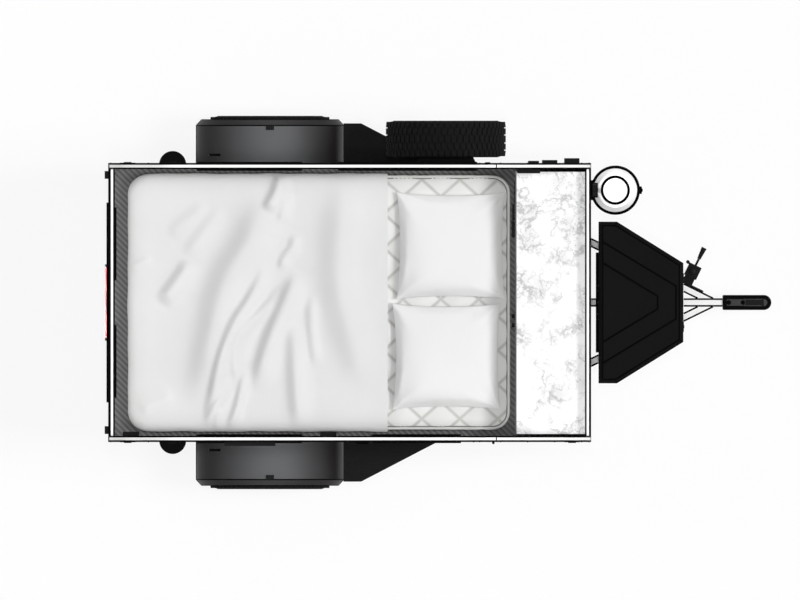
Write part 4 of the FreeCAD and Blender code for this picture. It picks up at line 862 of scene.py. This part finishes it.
wallOut = 0.834  # the outer face of both side walls
profileSizes = {
    "thick": 0.0034, "width": 0.018, "rearBar": 0.0058, "frontBar": 0.0026, "gap": 0.215,
    "seam": (0.349, 0.818, 1.7765), "seamTilt": radians(21),
}
# side outline of the walls, anticlockwise: corner and the radius of its arc
wallCorners = [
    ((-1.973, 0.52), 0), ((0.916, 0.52), 0), ((0.916, 1.18), 0.45), ((0.480, 1.805), 0.60), ((-1.973, 1.83), 0.38),
]


def filleted(corners, steps=12):
    points = []
    for i, (corner, radius) in enumerate(corners):
        corner = Vector(corner)
        a = (Vector(corners[i - 1][0]) - corner).normalized()
        b = (Vector(corners[(i + 1) % len(corners)][0]) - corner).normalized()
        if not radius:
            points.append(corner)
            continue
        half = acos(a.dot(b)) / 2
        centre = corner + (a + b).normalized() * radius / sin(half)
        first, last = corner + a * radius / tan(half) - centre, corner + b * radius / tan(half) - centre
        turn = first.angle_signed(last)
        for k in range(steps + 1):
            w = -turn * k / steps
            c, d = cos(w), sin(w)
            points.append(centre + Vector((first.x * c - first.y * d, first.x * d + first.y * c)))
    return points


def wallCaps():
    # the outer leg of the black cap profile round both side walls, and bars along the front and rear walls
    s = profileSizes
    for side, name in ((1, "left"), (-1, "right")):
        bm = bmesh.new()
        verts = [bm.verts.new((p.x, side * (wallOut + s["thick"] / 2), p.y)) for p in filleted(wallCorners)]
        edges = [bm.edges.new(pair) for pair in zip(verts, verts[1:] + verts[:1])]
        face = bmesh.ops.contextual_create(bm, geom=edges)["faces"][0]
        bmesh.ops.inset_region(bm, faces=[face], thickness=s["width"], use_boundary=True, use_even_offset=True)
        bmesh.ops.delete(bm, geom=[face], context="FACES")
        made = piece(name + "WallCap", bm, blackTrim)
        sheet = made.modifiers.new("sheet", "SOLIDIFY")
        sheet.thickness, sheet.offset = s["thick"], 0.0
    bm = bmesh.new()
    wide = 2 * (wallOut + s["thick"])
    rear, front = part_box("rear_frame"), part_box("front_wall")
    # the rear bar leaves the light bar open
    for side in (1, -1):
        middle = (rear[0].x - s["rearBar"] / 2, side * (wide / 2 + s["gap"]) / 2, rear[1].z - 0.008)
        addBlock(bm, (s["rearBar"], wide / 2 - s["gap"], 0.016), middle, 0.0012)
    addBlock(bm, (s["frontBar"], wide, 0.020), (front[1].x + s["frontBar"] / 2, 0.0, front[1].z - 0.010), 0.0008)
    for low, high in (front, rear):
        for x in (low.x + 0.005, high.x - 0.005):
            addBlock(bm, (0.010, 1.6, 0.003), (x, 0.0, high.z + 0.0012), 0.0008)
    # cover strips over the joints between the side walls and the nose walls
    x, y, z = s["seam"]
    for side in (1, -1):
        addBlock(bm, (0.008, 0.018, 0.006), (x, side * y, z), 0.001, Matrix.Rotation(s["seamTilt"], 4, "Y"))
    piece("wallBars", bm, blackTrim)


wallCaps()


screwRows = {"foot": 0.530, "sill": (-1.90, 0.1625, 18), "roof": (-1.55, 1.80 / 11, 12), "frontX": 0.906, "rearX": -1.963}


def trimScrews():
    # pan heads along the cap profiles of both side walls, about 160 mm apart
    s = screwRows
    bm = bmesh.new()
    first, pitch, count = s["sill"]
    places = [(first + k * pitch, s["foot"]) for k in range(count)]
    places += [(s["frontX"], z) for z in (0.70, 0.86, 1.02)] + [(s["rearX"], z) for z in (0.70, 0.86, 1.02, 1.18, 1.34)]
    first, pitch, count = s["roof"]
    (roofX, roofZ), (endX, endZ) = wallCorners[4][0], wallCorners[3][0]
    for k in range(count):
        x = first + k * pitch
        places.append((x, roofZ - 0.010 - (roofZ - endZ) * (x - roofX) / (endX - roofX)))
    for side in (1, -1):
        for x, z in places:
            addScrew(bm, (x, side * (wallOut + profileSizes["thick"]), z), (0, side, 0), 0.0045, 0.0018)
    piece("trimScrews", bm, blackMoulding)



trimScrews()


def sealRing(bm, outline, at, radius, facing="Y"):  # a bulb seal in an upright plane
    tubeAlong(bm, [(a, at, b) if facing == "Y" else (at, a, b) for a, b in outline], radius, True)


sealSizes = {"radius": 0.0032, "door": (-0.5965, 0.3345, 0.5735, 1.6965), "hatch": (-0.7335, 0.7335, 0.6565, 1.3935)}


def seals():
    # rubber bulb seals in the gaps round the entry door and the rear hatch
    s = sealSizes
    bm = bmesh.new()
    sealRing(bm, roundedOutline(*s["door"], [0.0865, 0.0865, 0.1465, 0.1465], 8), -0.815, s["radius"])
    sealRing(bm, roundedOutline(*s["hatch"], [0.0415] * 4, 8), -1.955, s["radius"], "X")
    piece("doorSeals", bm, rubberSeal)



seals()


# openings of the windows in the side walls: side, x from and to, z from and to
wallWindows = ((1, -1.448, -0.814, 1.12, 1.52), (1, -0.602, 0.236, 1.32, 1.64), (-1, -1.448, -0.814, 1.12, 1.52))
gasketSizes = {
    "inset": 0.031, "corner": 0.029, "thick": 0.0026, "wallFaces": (0.8215, 0.8125), "hatchFaces": (-1.9605, -1.9515),
    "door": (-0.369, 0.107, 1.251, 1.549), "hatchHeights": (0.954, 1.222), "hatchCorner": 0.010,
}


def windowGaskets():
    # a bead on both faces of each pane: outline, places across, and which way the pane faces
    s = gasketSizes
    inset, corners = s["inset"], [s["corner"]] * 4
    rings = {"windowGaskets": [], "doorGasket": [], "hatchGaskets": []}
    for side, x0, x1, z0, z1 in wallWindows:
        line = roundedOutline(x0 + inset, x1 - inset, z0 + inset, z1 - inset, corners, 6)
        rings["windowGaskets"].append((line, [side * y for y in s["wallFaces"]], "Y"))
    rings["doorGasket"].append((roundedOutline(*s["door"], corners, 6), [-y for y in s["wallFaces"]], "Y"))
    for y0, y1 in ((0.164, 0.540), (-0.540, -0.164)):
        line = roundedOutline(y0, y1, *s["hatchHeights"], [s["hatchCorner"]] * 4, 5)
        rings["hatchGaskets"].append((line, s["hatchFaces"], "X"))
    for name, body in (("windowGaskets", "trailer"), ("doorGasket", "door"), ("hatchGaskets", "hatch")):
        bm = bmesh.new()
        for line, places, facing in rings[name]:
            for at in places:
                sealRing(bm, line, at, s["thick"], facing)
        piece(name, bm, rubberSeal, body)



windowGaskets()


hingeSizes = {
    "doorY": -0.837, "doorFixedX": 0.356, "doorLeafX": 0.308, "hatchX": -1.976, "hatchFixedZ": 1.416,
    "hatchLeafZ": 1.366, "lidX": 0.960, "lidFixedZ": 0.799, "lidLeafZ": 0.850,
    "head": (0.0042, 0.0012), "smallHead": (0.0035, 0.0010),
}


def hingeScrews():
    # countersunk heads along both leaves of the door, hatch and lid hinges
    s = hingeSizes
    fixed, door, hatch, lid = bmesh.new(), bmesh.new(), bmesh.new(), bmesh.new()
    for k in range(4):
        for z in (0.72 + k * 0.075, 1.32 + k * 0.075):
            addScrew(fixed, (s["doorFixedX"], s["doorY"], z), (0, -1, 0), *s["head"])
    for k in range(5):
        addScrew(door, (s["doorLeafX"], s["doorY"], 1.015 + k * 0.06), (0, -1, 0), *s["head"])
    for k in range(5):
        for y in (0.24 + k * 0.08, -0.24 - k * 0.08):
            addScrew(fixed, (s["hatchX"], y, s["hatchFixedZ"]), (-1, 0, 0), *s["head"])
        addScrew(hatch, (s["hatchX"], -0.16 + k * 0.08, s["hatchLeafZ"]), (-1, 0, 0), *s["head"])
    for k in range(3):
        for y in (0.13 + k * 0.07, -0.13 - k * 0.07):
            addScrew(fixed, (s["lidX"], y, s["lidFixedZ"]), (-1, 0, 0), *s["smallHead"])
        addScrew(lid, (s["lidX"], -0.07 + k * 0.07, s["lidLeafZ"]), (-1, 0, 0), *s["smallHead"])
    piece("fixedHingeScrews", fixed, zincPlate)
    for bm, body, name in ((door, "door", "door"), (hatch, "hatch", "hatch"), (lid, "box_lid", "lid")):
        piece(name + "HingeScrews", bm, zincPlate, body)



hingeScrews()
print("body details done")


# fenders and steps

fenderSizes = {
    "top": 0.441, "shoulder": 1.062, "edge": 1.099, "drop": 0.031, "bead": 0.0042, "dots": 0.0045,
    "slotBack": 0.333, "slotSide": 0.0515, "flange": 0.448, "dotY": 1.0485, "dotFoot": 0.811, "dotTop": 0.8155,
}


def overWheel(radius, angle, y):  # a point round the wheel's axle, the angle upwards from straight ahead
    return Vector((wheelX + radius * cos(angle), y, wheelZ + radius * sin(angle)))


def fenderDetails():
    s = fenderSizes
    bm = bmesh.new()
    for side in (1, -1):
        # bolted flange along the wall
        for k in range(9):
            addScrew(bm, overWheel(s["flange"], radians(14 + 19 * k), side * wallOut), (0, side, 0), 0.006, 0.003)
        # rubber beads on the crease over the shoulder, along the outer edge and on both ends
        arc = [radians(1 + 178 * k / 64) for k in range(65)]
        for radius, y in ((s["top"] - 0.002, s["shoulder"]), (s["top"] - s["drop"] - 0.001, s["edge"] - 0.0035)):
            tubeAlong(bm, [overWheel(radius, a, side * y) for a in arc], s["bead"])
        for end in (1, -1):
            x, low = wheelX + end * s["top"], wheelZ + 0.006
            inner = wheelX + end * (s["top"] - s["drop"])
            line = [(x, side * 0.8375, low), (x, side * s["shoulder"], low), (inner, side * (s["edge"] - 0.0035), low)]
            tubeAlong(bm, line, s["bead"])
        # rubber plug over the slot on the rear slope
        a = acos(-s["slotBack"] / s["top"])
        foot = overWheel(s["top"] - 0.0012, a, side * (wallOut + s["slotSide"]))
        addBlock(bm, (0.100, 0.0150, 0.005), foot, 0.0022, Matrix.Rotation(pi / 2 - a, 4, "Y"))
    piece("fenderDetails", bm, blackTrim)
    bm = bmesh.new()
    for side in (1, -1):
        for k in (-1, 0, 1):
            x = wheelX + k * 0.014
            y = side * s["dotY"]
            addRod(bm, s["dots"], (x, y, s["dotFoot"]), (x, y, s["dotTop"]), 14, 0.0008)
    piece("fenderLampDots", bm, blackMoulding)


fenderDetails()


gripSizes = {
    "rows": 6, "studs": 24, "rear": -0.545, "pitch": 0.0225, "inner": 0.862, "rowPitch": 0.034,
    "bend": -0.461, "front": 0.003, "deep": 0.241, "margin": 0.022, "foot": 0.5445, "top": 0.5468,
}


def stepGrips():
    # raised anti-slip studs on both side steps, which narrow from their bend to the front
    s = gripSizes
    bm = bmesh.new()
    for side in (1, -1):
        for row in range(s["rows"]):
            for k in range(s["studs"]):
                x, y = s["rear"] + k * s["pitch"] + (row % 2) * 0.011, s["inner"] + row * s["rowPitch"]
                share = 1.0 if x < s["bend"] else (s["front"] - x) / (s["front"] - s["bend"])
                if y < wallOut + s["deep"] * share - s["margin"]:
                    addRod(bm, 0.0045, (x, side * y, s["foot"]), (x, side * y, s["top"]), 8, 0, tip=0.003)
    piece("stepGrips", bm, blackPowder)



stepGrips()
print("fenders and steps done")


# tongue

tongueSizes = {
    "top": 0.4438, "bead": 0.0104, "lean": radians(26), "half": 0.0254,
    "outer": (0.5191, 0.5828), "inner": (0.4968, 0.5372),  # a point on each edge of the left arm
}


def tongueBeads():
    # black edge guards on the tongue's arms and tube, where they show ahead of the box and behind it
    s = tongueSizes
    bm = bmesh.new()
    inset = s["bead"] / 2
    shift, slope = inset / cos(s["lean"]), tan(s["lean"])
    for side in (1, -1):
        for (x, y), sign in ((s["outer"], -1), (s["inner"], 1)):
            height = lambda at: y - (at - x) * slope + sign * shift
            stop = x + (y + sign * shift - s["half"]) / slope
            for start, end in ((0.9195, 0.9615), (1.4745, stop)):
                flatBead(bm, [(start, side * height(start)), (end, side * height(end))], s["bead"], s["top"])
        for start, end in ((0.9195, 0.9615), (1.4745, 1.7060)):
            flatBead(bm, [(start, side * (s["half"] - inset)), (end, side * (s["half"] - inset))], s["bead"], s["top"])
    piece("tongueBeads", bm, blackTrim)


tongueBeads()


couplerSizes = {
    "boltsX": (1.745, 1.830), "boltFoot": 0.4528,
    "rim": (1.721, 1.987, -0.032, 0.032), "rimCorners": [0.003, 0.032, 0.032, 0.003],
    # each level of the channel's floor: length, middle along and up, thickness, bevel
    "floors": ((0.114, 1.778, 0.4530, 0.0012, 0.0004), (0.120, 1.894, 0.4562, 0.0008, 0.0003)), "floorWide": 0.044,
    "nose": (1.954, 0.4558, 0.4566),
}


def tongueDetails():
    s = couplerSizes
    bm = bmesh.new()
    for x in s["boltsX"]:
        addBolt(bm, (x, 0.0, s["boltFoot"]), (0, 0, 1), 0.019, 0.007)
    # black painted rim of the cast coupler
    flatBead(bm, roundedOutline(*s["rim"], s["rimCorners"], 10), 0.024, 0.4556, 0.0012, True)
    piece("couplerBolts", bm, blackTrim)
    # bare grey floor of the coupler's channel
    bm = bmesh.new()
    for long, x, z, thick, bevel in s["floors"]:
        addBlock(bm, (long, s["floorWide"], thick), (x, 0.0, z), bevel)
    x, low, high = s["nose"]
    addRod(bm, s["floorWide"] / 2, (x, 0.0, low), (x, 0.0, high), 32)
    piece("couplerChannel", bm, channelPrimer)
    # nuts that hold the spare to its carrier
    bm = bmesh.new()
    for k in range(3):
        a = 2 * pi * k / 3 + pi / 2
        foot = Vector(spareCentre) + Vector((cos(a) * 0.028, 0.0, sin(a) * 0.028))
        addBolt(bm, foot + Vector((0, -0.008, 0)), (0, 1, 0), 0.019, 0.010)
    piece("carrierNuts", bm, zincPlate)



tongueDetails()


boxSizes = {
    "lockY": 0.145, "lockBelow": 0.040, "lockPlate": (0.004, 0.062, 0.034), "keyRadius": 0.010,
    "sealRear": (0.010, 0.473), "sealBend": 0.115, "sealNose": (0.008, 0.232), "seal": 0.002,
}


def boxDetails():
    s = boxSizes
    low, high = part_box("tongue_box")
    bm = bmesh.new()
    # flush compression locks on the box's nose, below the lid
    z = high.z - s["lockBelow"]
    for y in (s["lockY"], -s["lockY"]):
        addBlock(bm, s["lockPlate"], (high.x + 0.0015, y, z), 0.0015)
        addRod(bm, s["keyRadius"], (high.x + 0.003, y, z), (high.x + 0.006, y, z), 20, 0.0008)
    piece("boxLocks", bm, blackMoulding)
    bm = bmesh.new()
    # rubber lid seal just inside the rim
    (rear, wide), (nose, narrow) = s["sealRear"], s["sealNose"]
    half = [(low.x + rear, -wide), (low.x + s["sealBend"], -wide), (high.x - nose, -narrow)]
    outline = half + [(x, -y) for x, y in reversed(half)]
    tubeAlong(bm, [(x, y, high.z - 0.0022) for x, y in outline], s["seal"], True)
    piece("boxSeal", bm, rubberSeal)



boxDetails()


lidSizes = {
    # the crown's right half from the rear to the nose, and each V line: rear half width, nose half width, nose
    "crown": [(0.989, -0.461), (1.066, -0.461), (1.448, -0.223)],
    "vLines": ((0.366, 0.101, 1.432), (0.240, 0.040, 1.322)),
    "rear": 0.992, "bevelCorners": (((1.066, 0.461), (1.072, 0.480)), ((1.448, 0.223), (1.467, 0.232))),
}


def lidCreases():
    # black sealant beads on the lid's pressed ribs, round its crown and over the corners of its bevel
    s = lidSizes
    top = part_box("tongue_box_lid")[1].z
    bm = bmesh.new()
    inner = s["crown"] + [(x, -y) for x, y in reversed(s["crown"])]
    flatBead(bm, inner, 0.0105, top - 0.003, 0.0014, True)
    for rear, front, nose in s["vLines"]:
        line = [(s["rear"], rear - 0.004), (nose - 0.004, front - 0.002)]
        line += [(x, -y) for x, y in reversed(line)]
        flatBead(bm, line, 0.0110, top, 0.0010)
    for side in (1, -1):
        for (ax, ay), (bx, by) in s["bevelCorners"]:
            tubeAlong(bm, [(ax, side * ay, top - 0.003), (bx, side * by, top - 0.016)], 0.003)
    piece("lidCreases", bm, rubberSeal, "box_lid")



lidCreases()

cylinderSizes = {
    "x": 1.064, "y": 0.674, "radius": 0.145, "shoulder": 0.7238, "collarTop": 0.8678, "strap": (0.600, 0.638),
    "buckle": (0.014, 0.046, 0.050), "stop": (0.696, 0.726), "outlet": (0.9605, 0.9835, 0.8128),
    # height and radius of the weld's bead
    "weld": [(0.5840, 0.1449), (0.5848, 0.1462), (0.5872, 0.1466), (0.5896, 0.1462), (0.5904, 0.1449)],
}


def cylinderDetails():
    s = cylinderSizes
    centre = (s["x"], s["y"], 0.0)
    bm = bmesh.new()
    # rubber edging on the shoulder and on the guard collar
    z = s["shoulder"]
    section = [
        (-0.016, 0.1452), (-0.016, 0.1475), (0.001, 0.1480), (0.007, 0.1452),
        (0.0145, 0.1330), (0.0125, 0.1310), (0.0005, 0.1446),
    ]
    spinRing(bm, [(z + up, radius) for up, radius in section], centre, (0, 0, 1), 96)
    z = s["collarTop"]
    section = [
        (-0.016, 0.0832), (-0.016, 0.0868), (0.001, 0.0878), (0.0045, 0.0850), (0.0045, 0.0750),
        (0.001, 0.0720), (-0.007, 0.0724), (-0.007, 0.0788), (0.0003, 0.0788), (0.0003, 0.0832),
    ]
    spinRing(bm, [(z + up, radius) for up, radius in section], centre, (0, 0, 1), 72)
    # strap round the middle, with its buckle and the round stop above it
    low, high = s["strap"]
    spinRing(bm, [(low, 0.1451), (low, 0.1468), (high, 0.1468), (high, 0.1451)], centre, (0, 0, 1), 96)
    face = s["x"] + s["radius"]
    addBlock(bm, s["buckle"], (face + 0.007, s["y"], (low + high) / 2), 0.003)
    low, high = s["stop"]
    addRod(bm, 0.017, (face + 0.003, s["y"], low), (face + 0.003, s["y"], high), 28, 0.003)
    piece("cylinderEdging", bm, rubberSeal)
    bm = bmesh.new()
    # circumferential weld
    spinRing(bm, s["weld"], centre, (0, 0, 1), 96)
    # white sleeve over the valve's outlet, between the collar and the hand wheel
    rear, front, z = s["outlet"]
    addRod(bm, 0.0135, (rear, s["y"], z), (front, s["y"], z), 28, 0.001)
    piece("cylinderWeld", bm, cylinderEnamel)


cylinderDetails()


jackSizes = {
    "middle": (1.529, 0.1877), "turn": radians(-26), "screws": 0.030,
    "knob": (1.4995, 0.2435), "pinEnd": (1.5180, 0.2230),
    # the gear head's cap: height over the head and radius
    "cap": [(0.0, 0.0), (0.0, 0.027), (0.004, 0.0265), (0.005, 0.024), (0.0035, 0.022), (0.007, 0.012), (0.008, 0.0)],
}


def jackDetails():
    s = jackSizes
    bm = bmesh.new()
    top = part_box("jack_body")[1].z
    middle = Vector((*s["middle"], 0.0))
    turn = Matrix.Rotation(s["turn"], 4, "Z")
    # domed cap and corner screws on the gear head
    spinRing(bm, [(top + up, radius) for up, radius in s["cap"]], middle, (0, 0, 1), 40, False)
    for dx in (-1, 1):
        for dy in (-1, 1):
            place = middle + (turn @ Vector((dx * s["screws"], dy * s["screws"], 0)))
            addScrew(bm, (place.x, place.y, top), (0, 0, 1), 0.004, 0.002)
    # round knob of the swivel pin at the head's corner
    addRod(bm, 0.011, (*s["knob"], top - 0.034), (*s["knob"], top - 0.006), 24, 0.003)
    addRod(bm, 0.006, (*s["knob"], top - 0.020), (*s["pinEnd"], top - 0.020), 14)
    piece("jackCap", bm, blackMoulding)



jackDetails()
print("tongue details done")


# worktop edge and galley

bandSizes = {"rear": 0.006, "side": 0.005, "rearOut": 0.0032, "sideOut": 0.0028, "proud": 0.001}


def worktopEdge():
    # black edge band along the worktop's free edges
    s = bandSizes
    bm = bmesh.new()
    low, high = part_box("worktop")
    z, tall = (low.z + high.z) / 2, high.z - low.z + s["proud"]
    addBlock(bm, (s["rear"], high.y - low.y + s["rear"], tall), (low.x - s["rearOut"], (low.y + high.y) / 2, z), 0.001)
    for y in (high.y + s["sideOut"], low.y - s["sideOut"]):
        addBlock(bm, (high.x - low.x, s["side"], tall), ((low.x + high.x) / 2, y, z), 0.001)
    piece("worktopEdge", bm, blackTrim)



worktopEdge()
print("galley done")


# floor, light and camera

studio = {
    "floor": 14.0, "worldLight": 0.20, "view": (-0.228, 0.015), "across": 4.8,
    # each lamp: strength, spread, tilt from straight down, and where it stands round the trailer
    "lamps": {
        "topLeft": (0.47, 4, 3.5, 90), "topRight": (0.47, 4, 3.5, -90), "noseLight": (1.50, 16, 31, 0),
        "leftFill": (0.7, 40, 84, 90), "rightFill": (0.7, 40, 84, -90),
        "rearFill": (0.7, 40, 84, 180), "noseFill": (0.7, 40, 84, 0),
    },
}


def makeFloor():
    bm = bmesh.new()
    bmesh.ops.create_grid(bm, x_segments=1, y_segments=1, size=studio["floor"])
    mesh = bpy.data.meshes.new("studioFloor")
    bm.to_mesh(mesh)
    bm.free()
    floor = bpy.data.objects.new("studioFloor", mesh)
    scene.collection.objects.link(floor)
    floor.location.z = -0.001
    material, tree, shader, place = startMaterial("paleFloor", "#f4f4f4", {"Roughness": 0.9, "Specular IOR Level": 0.1})
    # the camera sees it nearly white, and a trace of the shadow stays
    glow = addNode(tree, "Emission", {"Color": (1.0, 1.0, 1.0, 1.0), "Strength": 1.0})
    share = maths(tree, "MULTIPLY", seenDirectly(tree), 0.86)
    blend = addNode(tree, "MixShader", None, {0: share, 1: shader.outputs[0], 2: glow.outputs[0]})
    tree.links.new(blend.outputs[0], tree.nodes["Material Output"].inputs["Surface"])
    mesh.materials.append(material)


makeFloor()


def makeWorld():
    world = bpy.data.worlds.new("studio")
    scene.world = world
    world.use_nodes = True
    tree = world.node_tree
    sky = tree.nodes["Background"]
    sky.inputs["Color"].default_value = (1.0, 1.0, 1.0, 1.0)
    strength = mapped(tree, seenDirectly(tree), 0.0, 1.0, studio["worldLight"], 1.0)
    tree.links.new(strength, sky.inputs["Strength"])


makeWorld()


def makeLamps():
    # far lamps, so that the light is even: two nearly overhead, one from ahead, and low fills for the other sides
    for name, (strength, spread, tilt, azimuth) in studio["lamps"].items():
        light = bpy.data.lights.new(name, "SUN")
        light.energy, light.angle = strength, radians(spread)
        holder = bpy.data.objects.new(name, light)
        scene.collection.objects.link(holder)
        a, b = radians(azimuth), radians(tilt)
        toLamp = Vector((cos(a) * sin(b), sin(a) * sin(b), cos(b)))
        holder.rotation_euler = toLamp.to_track_quat("Z", "Y").to_euler()


makeLamps()

camera = bpy.data.objects.new("planCamera", bpy.data.cameras.new("planCamera"))
scene.collection.objects.link(camera)
camera.data.type = "ORTHO"
camera.data.ortho_scale = studio["across"]
camera.data.clip_end = 40.0
camera.location = (studio["view"][0], studio["view"][1], 8.0)
scene.camera = camera

scene.view_settings.view_transform = "Standard"
print("scene ready")
